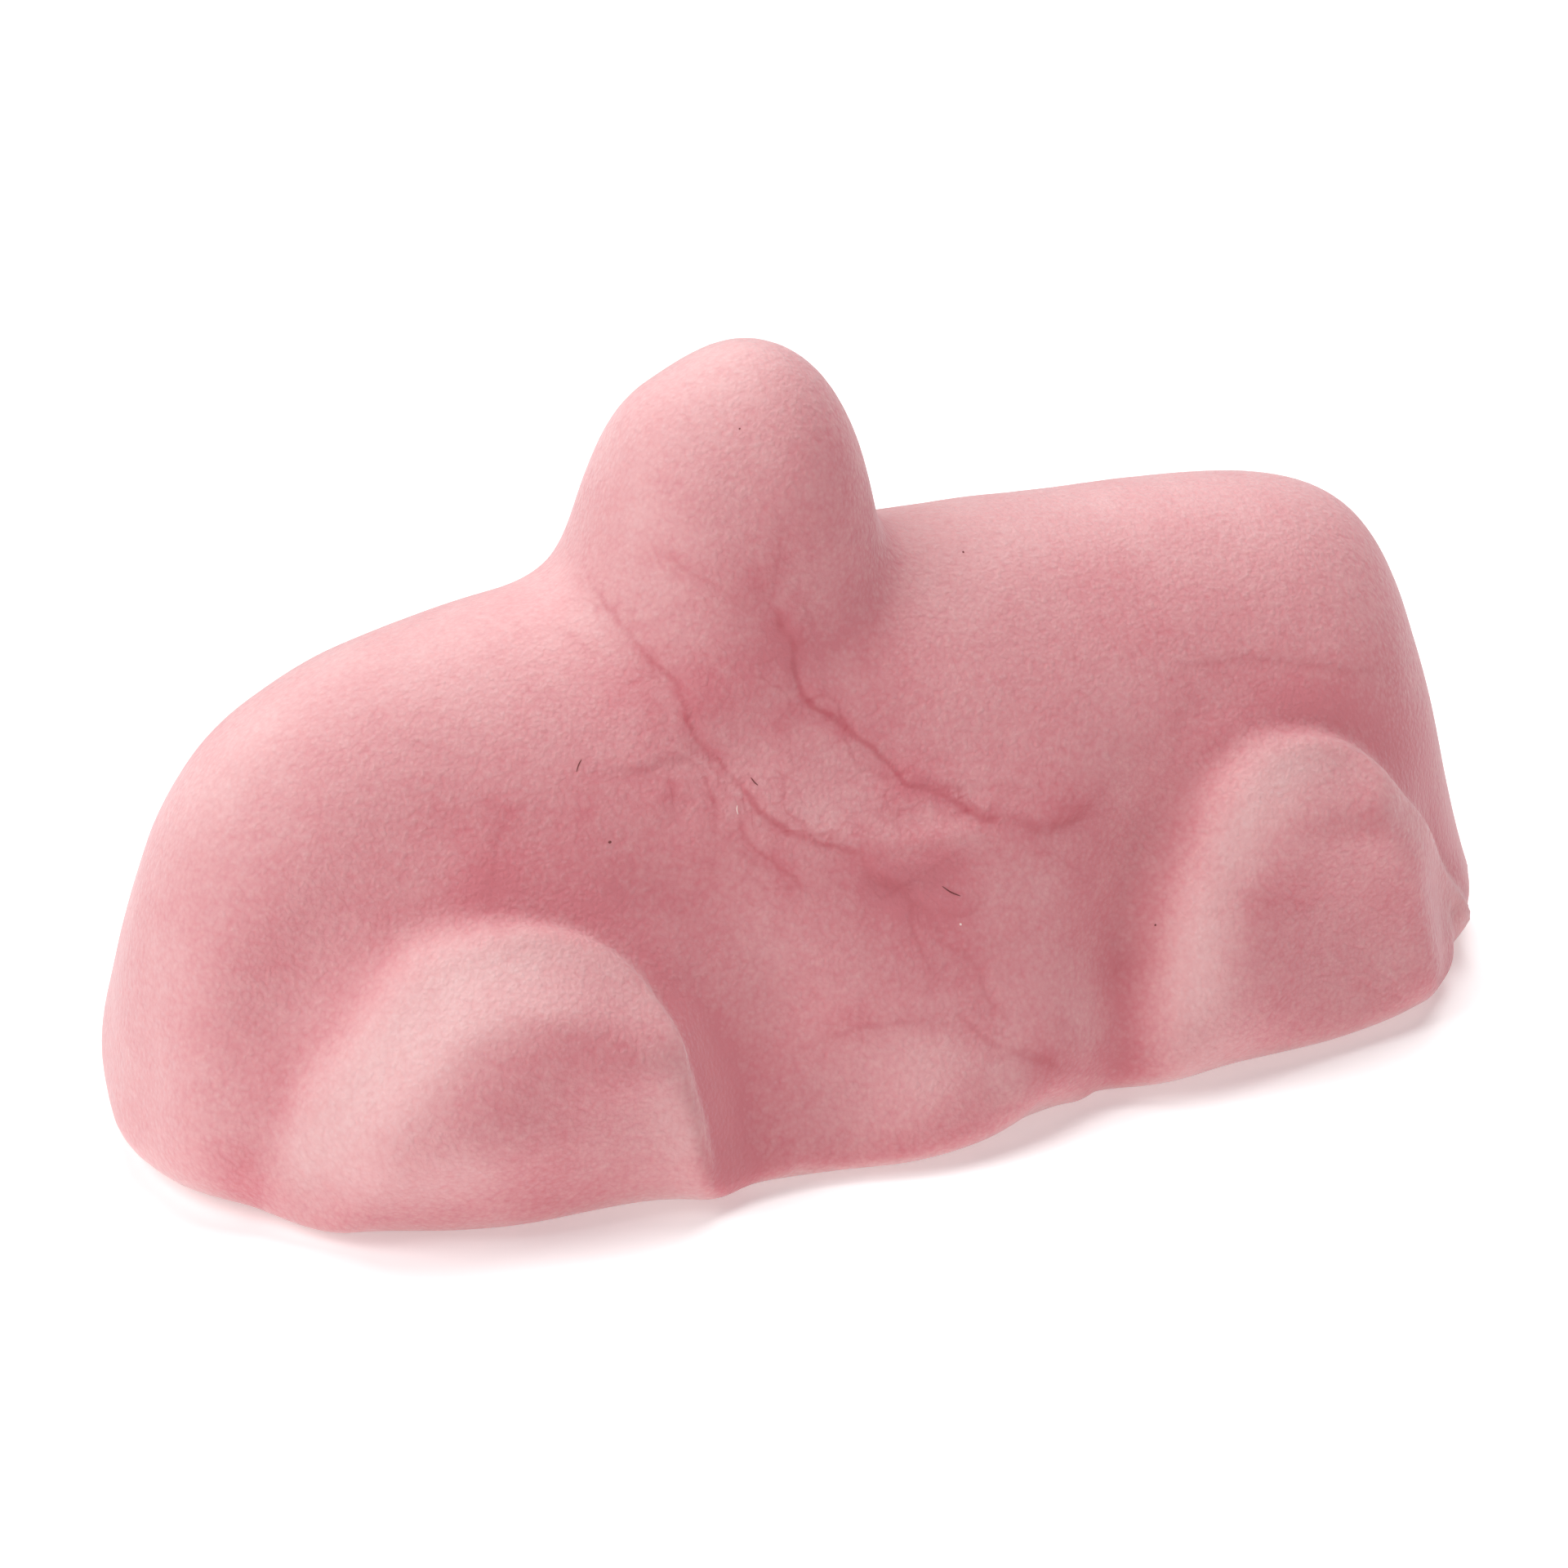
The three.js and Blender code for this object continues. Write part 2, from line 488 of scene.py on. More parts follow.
@dataclass(frozen=True)
class CandyForm:
    """All sizes of the candy's smooth form, and the node group that says where its surface is."""

    body: Body = Body()
    cab: Egg = Egg(-1.37, 0.0, 12.06, 2.34, 2.73, 3.8, 1.74)
    shoulder: Egg = Egg(-3.27, 0.0, 8.61, 2.05, 3.03, 6.23, 3.0)
    board: Egg = Egg(-1.91, 5.52, 0.0, 3.0, 1.93, 3.79, 2.95)
    waist: Waist = Waist(-0.99, 6.03, 6.98, 1.75, 0.25)
    low_wheel: Wheel = Wheel(
        -8.63, 1.87, 3.32, 2.5, 1.93, 2.59, 1.1, 1.6, 0.29, 1.04, 0.43, 1.99, 0.33, 3.67, 0.34, 1.5
    )
    tall_wheel: Wheel = Wheel(
        9.19, 3.03, 1.95, 2.0, 2.7, 2.07, 0.75, 1.03, 0.3, 0.94, 0.51, 0.32, 0.25, 3.66, 0.08, 1.0
    )
    swells: tuple[Swell, ...] = SWELLS
    foot: Foot = Foot()
    sides_from: float = 0.5
    sides_to: float = 3.5

    def body_distance(self, tree: Tree, b: SimpleNamespace, x: Term, side: Term, z: Term) -> Term:
        """Distance to the body.

        Args:
            tree: where the nodes go.
            b: the body's sizes.
            x: place along the candy.
            side: distance from its middle plane.
            z: height.

        Returns:
            The distance, below zero inside.
        """
        t = tree.ease(b.low_end, b.tall_end, x)
        roof = z - tree.mix(b.low_top, b.tall_top, t)
        fall = tree.math("SMOOTH_MAX", b.low_end - x, roof, b.low_rounding)
        end = x - b.tall_end + b.tall_slope * z
        core = tree.math("SMOOTH_MAX", fall, end, b.tall_rounding)
        rounded = 0.5 * (core + tree.math("SQRT", core * core + b.softening * b.softening))
        middle = (b.low_end + b.tall_end) * 0.5
        along = (x - middle) / (b.tall_end - middle)
        taper = tree.mix(b.low_taper, b.tall_taper, t) * along * along
        round_side = (rounded / b.crown) ** b.power + side ** b.power
        return tree.math("POWER", round_side, 1.0 / b.power) - (b.half_width - taper)

    def egg_distance(self, tree: Tree, e: SimpleNamespace, x: Term, y: Term, z: Term) -> Term:
        """Distance to an egg-shaped lump, nearly true close to its surface.

        Args:
            tree: where the nodes go.
            e: the lump's sizes.
            x: place along the candy.
            y: place across it.
            z: height.

        Returns:
            The distance, below zero inside.
        """
        away = tree.vector(x - e.x, y - e.y, z - e.z)
        radii = tree.vector(e.radius_x, e.radius_y, e.radius_z)
        once = away / radii
        near = tree.vector_math("LENGTH", once)
        slope = tree.vector_math("LENGTH", once / radii)
        return near * (near - 1.0) / tree.math("MAXIMUM", slope, 1e-6)

    def hump(self, tree: Tree, x: Term, z: Term, radius_x: Value, radius_z: Value) -> Term:
        """A round hump seen from the side.

        Args:
            tree: where the nodes go.
            x: distance from its middle along the candy.
            z: distance from its middle upwards.
            radius_x: its reach along the candy.
            radius_z: its reach upwards.

        Returns:
            1 in its middle and 0 beyond its radii.
        """
        x = x / radius_x
        z = z / radius_z
        inside = tree.math("MAXIMUM", 1.0 - (x * x + z * z), 0.0)
        return inside * inside

    def swelling(self, tree: Tree, x: Term, z: Term) -> Term:
        """How far all the swells together raise the side at a place.

        Args:
            tree: where the nodes go.
            x: place along the candy.
            z: height.

        Returns:
            The height that they add there.
        """
        total: Value = 0.0
        for i, swell in enumerate(self.swells):
            s = tree.sizes(f"Swell {i + 1}", swell)
            along = (x - s.x) / s.radius
            up = (z - s.z) / s.radius
            total = tree.combine("ADD", total, s.height * tree.math("EXPONENT", -(along * along + up * up)))
        return total

    def wheel_rise(self, tree: Tree, w: SimpleNamespace, x: Term, z: Term) -> tuple[Term, Term]:
        """How far a wheel stands out.

        Args:
            tree: where the nodes go.
            w: the wheel's sizes.
            x: place along the candy.
            z: height.

        Returns:
            The arch, from 0 to 1, and the height of the arch less its dish.
        """
        turn = tree.ease(-1.0, 1.0, (x - w.x) / w.tall_radius)
        radius = tree.mix(w.low_radius, w.tall_radius, turn)
        flank = tree.mix(w.low_flank, w.tall_flank, turn)
        lean = tree.mix(w.low_lean, w.tall_lean, turn)
        above = tree.math("SMOOTH_MAX", z - w.z, 0.0, 1.0)
        below = tree.math("SMOOTH_MAX", w.z - z, 0.0, 1.0)
        out = tree.vector_math("LENGTH", tree.vector(x - w.x, above, 0.0)) - w.spread * below
        out = tree.math("MAXIMUM", out, 0.0)
        up_flank = tree.math("MAXIMUM", (radius + flank - out) / flank, 1e-6)
        arch = tree.ease(0.0, 1.0, tree.math("MINIMUM", up_flank, 1.0) ** lean)
        dish = self.hump(tree, x - w.x - w.dish_x, z - w.z - w.dish_z, w.dish_radius, w.dish_radius)
        beyond = (out - radius - flank) / w.trench_width
        trench = tree.math("EXPONENT", -(beyond * beyond))
        return arch, w.rise * arch - w.dish * dish - w.trench * trench

    def group(self) -> bpy.types.NodeTree:
        """Builds the node group.

        Returns:
            A group that takes a place and the form's sizes, and gives the distance to the surface.
        """
        tree = Tree.new("Candy form")
        place = tree.input("Place", (0.0, 0.0, 0.0), "NodeSocketVector")
        body = tree.sizes("Body", self.body)
        cab = tree.sizes("Cab", self.cab)
        shoulder = tree.sizes("Shoulder", self.shoulder)
        board = tree.sizes("Board", self.board)
        waist = tree.sizes("Waist", self.waist)
        wheels = [tree.sizes("Low wheel", self.low_wheel), tree.sizes("Tall wheel", self.tall_wheel)]
        foot = tree.sizes("Foot", self.foot)
        sides_from = tree.input("Sides from", self.sides_from)
        sides_to = tree.input("Sides to", self.sides_to)

        x, y, z = place.parts()
        side = tree.math("SQRT", y * y + 1e-4)
        upper = tree.math(
            "SMOOTH_MIN",
            self.egg_distance(tree, cab, x, y, z),
            self.egg_distance(tree, shoulder, x, y, z),
            shoulder.blend,
        )
        d = tree.math("SMOOTH_MIN", self.body_distance(tree, body, x, side, z), upper, cab.blend)
        fade = tree.ease(sides_from, sides_to, side)
        inward = waist.depth * self.hump(tree, x - waist.x, z - waist.z, waist.radius_x, waist.radius_z)
        d = d + fade * inward
        mound = self.egg_distance(tree, board, x, side, z)
        d = tree.math("SMOOTH_MIN", d, mound, board.blend)
        d = d - fade * self.swelling(tree, x, z)
        height = tree.math("MAXIMUM", z, 0.0)
        spread = foot.flare * tree.math("EXPONENT", -(height / foot.height))
        for wheel in wheels:
            arch, rise = self.wheel_rise(tree, wheel, x, z)
            d = d - fade * rise
            spread = spread * (1.0 - fade * arch)
        tree.output("Distance", tree.math("SMOOTH_MAX", d - spread, -z, foot.rounding))
        return tree.group


class Side(Enum):
    """The two long sides of the candy, by the sign of y."""

    NEAR = -1
    FAR = 1


@dataclass(frozen=True)
class Crease:
    """A crease in the skin of one side: how plain it is, how wide, and its route of (x, z) places."""

    side: Side
    strength: float
    width: float
    route: tuple[Point2, ...]


@dataclass(frozen=True)
class Fibre:
    """A short fibre or a crumb that sticks to the skin: pale or dark, how thick, and its route."""

    pale: bool
    radius: float
    route: tuple[Point3, ...]


@dataclass(frozen=True)
class Press:
    """A soft oval swell of the near side's skin, or a hollow where its height is below zero."""

    x: float
    z: float
    radius_x: float
    radius_z: float
    height: float


@dataclass(frozen=True)
class Edge:
    """The edge of a wheel's arch on both sides: a place inside it, and its route of (x, z) places."""

    x: float
    z: float
    route: tuple[Point2, ...]


@dataclass(frozen=True)
class ArchEdgePaintedLight:
    """Painted light at an arch's edge: paler painted highlight on its crest, painted shade in the groove
    outside.
    """

    crest: float = 0.22
    crest_spread: float = 0.9
    crest_least: float = 0.25
    groove: float = 0.22
    groove_place: float = 0.5
    groove_width: float = 0.65


@dataclass(frozen=True)
class Patch:
    """A round spot of deeper pink, paler below zero: some are starch, some painted light and shade."""

    place: Point3
    radius: float
    share: float


@dataclass(frozen=True)
class Dent:
    """A small dent, or a bump where its depth is below zero."""

    place: Point3
    radius: float
    depth: float


CREASES = (
    Crease(Side.NEAR, 0.5, 0.8, ((-2.0, 13.11), (-2.08, 12.59), (-2.25, 12.06), (-2.31, 11.57))),
    Crease(
        Side.NEAR,
        1.0,
        1.0,
        (
            (-2.31, 11.57), (-2.22, 11.09), (-2.02, 10.59), (-1.97, 10.1), (-1.9, 9.65), (-1.56, 9.33),
            (-1.09, 8.94), (-0.65, 8.55), (-0.28, 8.23), (-0.16, 7.99), (0.06, 7.72), (0.49, 7.52),
            (0.84, 7.25), (1.39, 6.83), (2.01, 6.68),
        ),
    ),
    Crease(Side.NEAR, 0.9, 1.7, ((1.92, 6.7), (2.67, 6.4), (3.33, 6.33), (3.83, 6.46), (4.09, 6.61))),
    Crease(Side.NEAR, 0.5, 0.8, ((0.41, 7.55), (0.87, 7.53), (1.28, 7.41))),
    Crease(Side.NEAR, 0.35, 0.8, ((4.09, 6.61), (4.4, 6.86), (4.63, 7.04))),
    Crease(Side.NEAR, 0.5, 0.9, ((-5.37, 11.67), (-5.31, 11.44), (-5.17, 11.16), (-5.03, 10.88))),
    Crease(
        Side.NEAR,
        0.85,
        1.0,
        (
            (-5.03, 10.88), (-4.86, 10.57), (-4.57, 10.2), (-4.46, 9.85), (-4.38, 9.42), (-4.22, 9.04),
            (-3.95, 8.7), (-3.67, 8.36),
        ),
    ),
    Crease(
        Side.NEAR,
        0.95,
        1.1,
        (
            (-3.67, 8.36), (-3.52, 8.04), (-3.29, 7.71), (-2.9, 7.38), (-2.21, 6.94), (-1.42, 6.6),
            (-1.25, 6.23),
        ),
    ),
    Crease(
        Side.NEAR,
        1.0,
        1.9,
        (
            (-1.25, 6.23), (-0.93, 5.9), (-0.51, 5.69), (-0.34, 5.42), (-0.07, 5.17),
        ),
    ),
    Crease(
        Side.NEAR,
        0.75,
        0.9,
        (
            (-3.76, 7.91), (-3.78, 7.53), (-3.62, 7.11), (-3.23, 6.74), (-2.87, 6.37), (-2.51, 6.0),
        ),
    ),
    Crease(Side.NEAR, 0.35, 0.8, ((-6.18, 10.96), (-6.04, 10.8), (-5.83, 10.61))),
    Crease(
        Side.NEAR,
        0.5,
        1.0,
        (
            (-4.33, 8.69), (-4.73, 8.84), (-5.13, 8.82), (-5.57, 8.77), (-6.11, 8.88),
        ),
    ),
    Crease(Side.NEAR, 0.6, 0.8, ((-5.1, 8.8), (-5.12, 8.55), (-5.12, 8.18), (-5.22, 7.82))),
    Crease(Side.NEAR, 0.6, 0.8, ((-4.4, 8.7), (-4.3, 8.4), (-4.29, 8.07), (-4.32, 7.68), (-4.36, 7.1))),
    Crease(Side.NEAR, 0.5, 0.8, ((-4.68, 6.94), (-4.49, 6.77), (-4.43, 6.28))),
    Crease(Side.NEAR, 0.5, 1.4, ((-2.66, 12.2), (-2.53, 11.83), (-2.35, 11.46))),
    Crease(
        Side.NEAR,
        0.4,
        0.9,
        (
            (-4.45, 12.63), (-4.12, 12.36), (-3.61, 12.09), (-3.13, 11.77), (-2.79, 11.39),
        ),
    ),
    Crease(Side.NEAR, 0.6, 1.0, ((-0.24, 5.38), (0.05, 4.91), (0.18, 4.59))),
    Crease(Side.NEAR, 0.45, 0.8, ((-0.35, 5.39), (-0.44, 5.02), (-0.35, 4.56), (-0.19, 4.07))),
    Crease(Side.NEAR, 0.5, 0.9, ((0.18, 4.59), (0.63, 4.2), (0.99, 3.69), (1.08, 3.27), (1.43, 2.81))),
    Crease(Side.NEAR, 0.4, 0.8, ((-0.07, 5.17), (0.39, 5.01), (0.89, 4.97), (1.28, 5.14))),
    Crease(Side.NEAR, 0.35, 0.8, ((-0.51, 5.69), (0.08, 5.92), (0.62, 6.09), (1.04, 6.22))),
    Crease(Side.NEAR, 0.6, 1.0, ((0.24, 3.17), (0.52, 2.9), (0.83, 2.58), (1.5, 2.23))),
    Crease(Side.NEAR, 0.8, 1.7, ((1.49, 2.2), (2.1, 1.88), (2.82, 1.45))),
    Crease(
        Side.NEAR,
        0.4,
        1.0,
        (
            (-2.88, 2.92), (-2.37, 3.09), (-1.88, 3.2), (-1.29, 3.2), (-0.7, 3.21), (0.0, 3.08),
        ),
    ),
    Crease(
        Side.NEAR,
        0.3,
        1.0,
        (
            (-9.15, 6.48), (-8.98, 6.88), (-8.81, 7.43), (-8.61, 8.05), (-8.7, 8.46), (-8.72, 8.61),
        ),
    ),
    Crease(Side.NEAR, 0.3, 1.2, ((-9.13, 6.16), (-9.1, 6.38), (-9.11, 6.57))),
    Crease(
        Side.NEAR,
        0.3,
        1.0,
        (
            (6.54, 8.8), (7.31, 8.71), (8.28, 8.64), (9.41, 8.36), (10.57, 7.98), (11.76, 7.67),
        ),
    ),
    Crease(Side.NEAR, 0.25, 1.0, ((6.54, 8.8), (6.62, 8.25), (6.27, 7.68))),
    Crease(Side.NEAR, 0.5, 0.7, ((9.86, 1.7), (10.33, 1.39), (10.97, 0.95))),
    Crease(Side.NEAR, 0.25, 0.8, ((6.67, 4.46), (7.76, 4.08), (9.04, 3.87), (10.54, 3.38))),
    Crease(Side.NEAR, 0.3, 0.8, ((4.09, 2.75), (4.64, 2.9), (5.01, 3.12))),
    Crease(Side.NEAR, 0.25, 0.8, ((-10.53, 9.94), (-10.0, 9.65), (-9.17, 9.36))),
    Crease(
        Side.FAR,
        0.9,
        1.0,
        (
            (-4.51, 11.2), (-4.01, 10.4), (-3.71, 9.6), (-2.81, 9.0), (-2.31, 8.2), (-1.21, 7.6),
            (-0.51, 6.9), (0.49, 6.5),
        ),
    ),
    Crease(
        Side.FAR,
        0.8,
        1.0,
        (
            (0.19, 11.6), (0.49, 10.6), (0.09, 9.7), (0.39, 8.9), (-0.21, 8.1), (-0.51, 6.9),
            (-1.31, 6.2),
        ),
    ),
    Crease(Side.FAR, 0.6, 0.8, ((-2.81, 9.0), (-3.91, 8.3), (-4.71, 7.9), (-5.61, 7.1))),
    Crease(Side.FAR, 0.6, 1.3, ((0.49, 6.5), (1.69, 6.2), (2.59, 6.5), (3.79, 6.1))),
    Crease(
        Side.FAR,
        0.6,
        1.0,
        (
            (-3.81, 3.1), (-2.61, 3.4), (-1.31, 3.3), (-0.01, 3.1), (1.09, 2.2), (2.19, 1.5),
        ),
    ),
    Crease(Side.FAR, 0.35, 1.0, ((-8.61, 9.0), (-9.01, 8.1), (-8.81, 7.2))),
    Crease(Side.FAR, 0.35, 1.0, ((5.19, 8.4), (6.59, 8.9), (8.19, 8.6), (9.69, 8.8))),
    Crease(Side.FAR, 0.4, 0.8, ((-4.5, 9.9), (-5.1, 9.3), (-5.3, 8.5))),
    Crease(Side.FAR, 0.4, 0.8, ((0.1, 9.7), (1.1, 9.4), (1.8, 9.6))),
)

FIBRES = (
    Fibre(False, 0.013, ((-6.8, -3.56, 9.12), (-6.89, -3.6, 9.02), (-6.95, -3.65, 8.91))),
    Fibre(False, 0.015, ((-3.38, -4.3, 8.4), (-3.32, -4.37, 8.29), (-3.27, -4.4, 8.24))),
    Fibre(False, 0.015, ((0.39, -5.25, 5.57), (0.55, -5.34, 5.44), (0.75, -5.4, 5.34))),
    Fibre(False, 0.035, ((-6.51, -4.2, 7.54), (-6.5, -4.21, 7.49))),
    Fibre(False, 0.022, ((-2.48, -1.74, 14.86), (-2.47, -1.76, 14.84))),
    Fibre(False, 0.022, ((2.79, -1.36, 11.09), (2.78, -1.41, 11.08))),
    Fibre(False, 0.025, ((5.38, -5.36, 3.7), (5.4, -5.39, 3.69))),
    Fibre(True, 0.012, ((-3.78, -4.49, 7.9), (-3.81, -4.51, 7.83), (-3.81, -4.55, 7.73))),
    Fibre(True, 0.025, ((0.65, -5.64, 4.83), (0.68, -5.66, 4.8))),
    Fibre(False, 0.012, ((3.2, 5.2, 6.6), (3.3, 5.2, 6.5), (3.3, 5.2, 6.35))),
    Fibre(False, 0.025, ((-4.2, 4.9, 6.3), (-4.23, 4.9, 6.28))),
)

PRESSES = (
    Press(-10.82, 3.39, 1.91, 2.5, -0.35),
    Press(-9.19, 7.18, 2.44, 0.8, 0.15),
    Press(-6.95, 5.13, 1.21, 2.3, 0.09),
    Press(-5.72, 5.24, 0.74, 0.83, 0.04),
    Press(-7.15, 3.84, 1.72, 0.68, 0.24),
    Press(-9.99, 2.57, 2.5, 1.21, 0.35),
    Press(-4.49, 2.9, 0.88, 1.87, 0.17),
    Press(-1.78, 6.92, 1.92, 0.38, 0.1),
    Press(-0.06, 6.51, 1.69, 0.35, 0.2),
    Press(-3.58, 8.98, 1.43, 0.75, -0.17),
    Press(1.62, 8.79, 1.04, 0.72, 0.05),
    Press(2.15, 6.05, 1.58, 0.8, 0.19),
    Press(-1.83, 6.01, 2.5, 1.29, 0.3),
    Press(-0.27, 8.02, 2.5, 1.39, -0.26),
    Press(6.7, 5.07, 1.32, 1.39, -0.23),
    Press(7.3, 7.28, 0.86, 0.41, 0.11),
    Press(10.51, 5.62, 0.55, 0.73, 0.14),
    Press(7.16, 2.5, 1.72, 1.71, 0.16),
)

# Round spots of starch, and of painted light and shade, such as deeper pink along the foot and a paler rear
# end.
STARCH_AND_PAINTED_LIGHT_PATCHES = (
    Patch((-5.33, -1.38, 11.47), 0.86, -0.22),
    Patch((-3.37, -4.42, 7.99), 0.78, -0.25),
    Patch((-2.13, -4.9, 7.27), 0.66, -0.3),
    Patch((-0.86, -4.74, 7.36), 0.86, -0.26),
    Patch((1.09, -4.94, 6.87), 0.66, -0.4),
    Patch((-1.72, -3.81, 8.96), 0.78, -0.16),
    Patch((-13.88, -0.42, 8.19), 1.12, -0.22),
    Patch((-12.62, -0.45, 9.4), 1.03, -0.18),
    Patch((-10.54, 0.33, 10.4), 0.86, -0.13),
    Patch((-4.27, -3.82, 8.82), 0.6, -0.18),
    Patch((-3.54, -4.98, 6.44), 0.6, -0.13),
    Patch((-6.27, -6.97, 2.32), 1.03, -0.22),
    Patch((-0.31, -6.75, 2.38), 1.03, -0.3),
    Patch((1.26, -6.99, 1.77), 0.86, -0.35),
    Patch((4.22, -4.68, 7.44), 0.86, -0.14),
    Patch((6.43, -6.63, 1.61), 1.21, -0.05),
    Patch((10.33, -6.02, 1.45), 1.03, -0.2),
    Patch((3.22, -6.09, 2.63), 1.03, -0.16),
    Patch((-5.59, -2.78, 10.18), 0.69, 0.22),
    Patch((-3.64, -3.44, 9.9), 1.03, 0.18),
    Patch((0.08, -3.12, 9.98), 1.03, 0.18),
    Patch((5.48, -2.51, 10.32), 1.55, 0.14),
    Patch((-2.74, -2.95, 11.97), 0.69, 0.2),
    Patch((0.16, -5.34, 5.75), 0.95, 0.3),
    Patch((-1.57, -5.27, 6.29), 0.69, 0.2),
    Patch((-1.08, -5.61, 5.2), 0.69, 0.2),
    Patch((-9.19, -4.02, 6.99), 0.66, 0.3),
    Patch((-7.18, -4.29, 7.15), 1.55, 0.18),
    Patch((-4.08, -6.13, 2.17), 1.03, 0.12),
    Patch((4.87, -5.51, 2.58), 1.03, 0.08),
    Patch((-1.4, -2.4, 11.8), 2.9, -0.12),
    Patch((12.8, -3.0, 9.0), 2.2, -0.12),
    Patch((-14.2, -3.6, 0.4), 1.2, 0.4),
    Patch((-12.5, -5.2, 0.4), 1.3, 0.4),
    Patch((-10.6, -5.7, 0.4), 1.5, 0.32),
    Patch((-8.3, -5.8, 0.3), 1.4, 0.28),
    Patch((-5.6, -6.2, 0.3), 1.3, 0.15),
    Patch((-10.6, -4.6, 5.0), 1.6, 0.1),
    Patch((-9.2, -5.6, 3.6), 1.5, 0.12),
    Patch((14.0, -3.2, 1.3), 1.0, -0.3),
    Patch((-13.6, -3.6, 2.2), 1.0, -0.12),
    Patch((12.27, -4.26, 5.03), 0.86, 0.3),
    Patch((-5.16, -4.58, 7.05), 1.38, 0.1),
    Patch((0.5, 5.2, 6.2), 1.2, 0.25),
    Patch((-2.4, 4.6, 8.3), 1.0, -0.2),
    Patch((5.2, 5.4, 3.6), 1.3, 0.2),
    Patch((-4.4, 6.0, 2.4), 1.2, 0.2),
    Patch((15.2, 0.6, 5.0), 1.5, -0.15),
)

LOW_EDGE = Edge(
    -8.9,
    2.0,
    (
        (-13.9, 0.9), (-13.59, 2.01), (-13.07, 3.3), (-12.41, 4.3), (-11.59, 5.33), (-10.77, 5.97),
        (-9.74, 6.26), (-8.69, 6.26), (-7.78, 6.01), (-7.07, 5.58), (-6.54, 4.99), (-6.28, 4.36),
        (-6.04, 3.39), (-5.73, 2.15), (-5.51, 0.91), (-5.4, 0.2),
    ),
)
TALL_EDGE = Edge(
    8.8,
    2.5,
    (
        (4.8, 0.3), (4.98, 1.17), (5.34, 2.61), (5.82, 4.2), (6.49, 5.56), (7.2, 6.54), (8.1, 7.06),
        (9.21, 7.04), (10.07, 6.72), (10.65, 6.22), (11.36, 5.4), (12.49, 3.9), (13.77, 2.08),
        (14.5, 1.05), (15.0, 0.3),
    ),
)

DENTS = (
    Dent((-14.4, -4.8, 0.45), 1.1, -0.28),
    Dent((-3.27, -6.7, 0.2), 0.35, 0.16),
    Dent((2.33, -6.7, 0.5), 0.5, 0.14),
    Dent((3.34, -6.0, 0.3), 0.4, -0.1),
    Dent((14.0, -3.1, 1.1), 0.9, -0.08),
    Dent((13.2, -4.2, 0.85), 0.7, -0.22),
    Dent((13.69, -3.7, 1.6), 0.3, 0.1),
    Dent((0.99, 6.9, 0.4), 0.5, 0.15),
    Dent((-4.01, 6.4, 0.3), 0.4, 0.13),
)


@dataclass(frozen=True)
class Net:
    """The net over the surface: its squares, and how it is evened out and refined."""

    squares_along: int = 52
    squares_across: int = 24
    squares_up: int = 22
    evening_rounds: int = 14
    refinements: int = 2
    spine_half: float = 10.5
    spine_height: float = 5.0
    farthest: float = 14.0


@dataclass(frozen=True)
class Relief:
    """What is pressed into the smooth form. Lengths are in millimetres."""

    unevenness: float = 0.05
    uneven_scale: float = 0.28
    crease_depth: float = 0.055
    crease_width: float = 0.12
    lip_height: float = 0.09
    lip_width: float = 0.5
    wander: float = 0.1
    edge_height: float = 0.36
    soft_edge: float = 0.8
    sharp_edge: float = 0.3
    soft_until: float = -2.5
    sharp_from: float = 2.0
    edge_outside: float = 1.1
    edge_inside: float = 1.7
    edge_fade: float = 1.6
    foot_from: float = 0.02
    foot_to: float = 0.5


def grown(
    name: str, start: bpy.types.Mesh, tree: bpy.types.NodeTree, values: dict[str, object]
) -> bpy.types.Object:
    """Runs a tree of Geometry Nodes on a mesh and keeps the result as a plain mesh.

    Args:
        name: the piece's name.
        start: the mesh that the tree starts from.
        tree: the tree.
        values: what goes into its named inputs.

    Returns:
        The piece, with no modifier left on it.
    """
    piece = bpy.data.objects.new(name, start)
    bpy.context.scene.collection.objects.link(piece)
    modifier = piece.modifiers.new(name, "NODES")
    modifier.node_group = tree
    for item in tree.interface.items_tree:
        if item.in_out == "INPUT" and item.name in values:
            modifier[item.identifier] = values[item.name]
    plain = bpy.data.meshes.new_from_object(piece.evaluated_get(bpy.context.evaluated_depsgraph_get()))
    piece.modifiers.remove(modifier)
    piece.data = plain
    plain.name = name
    return piece


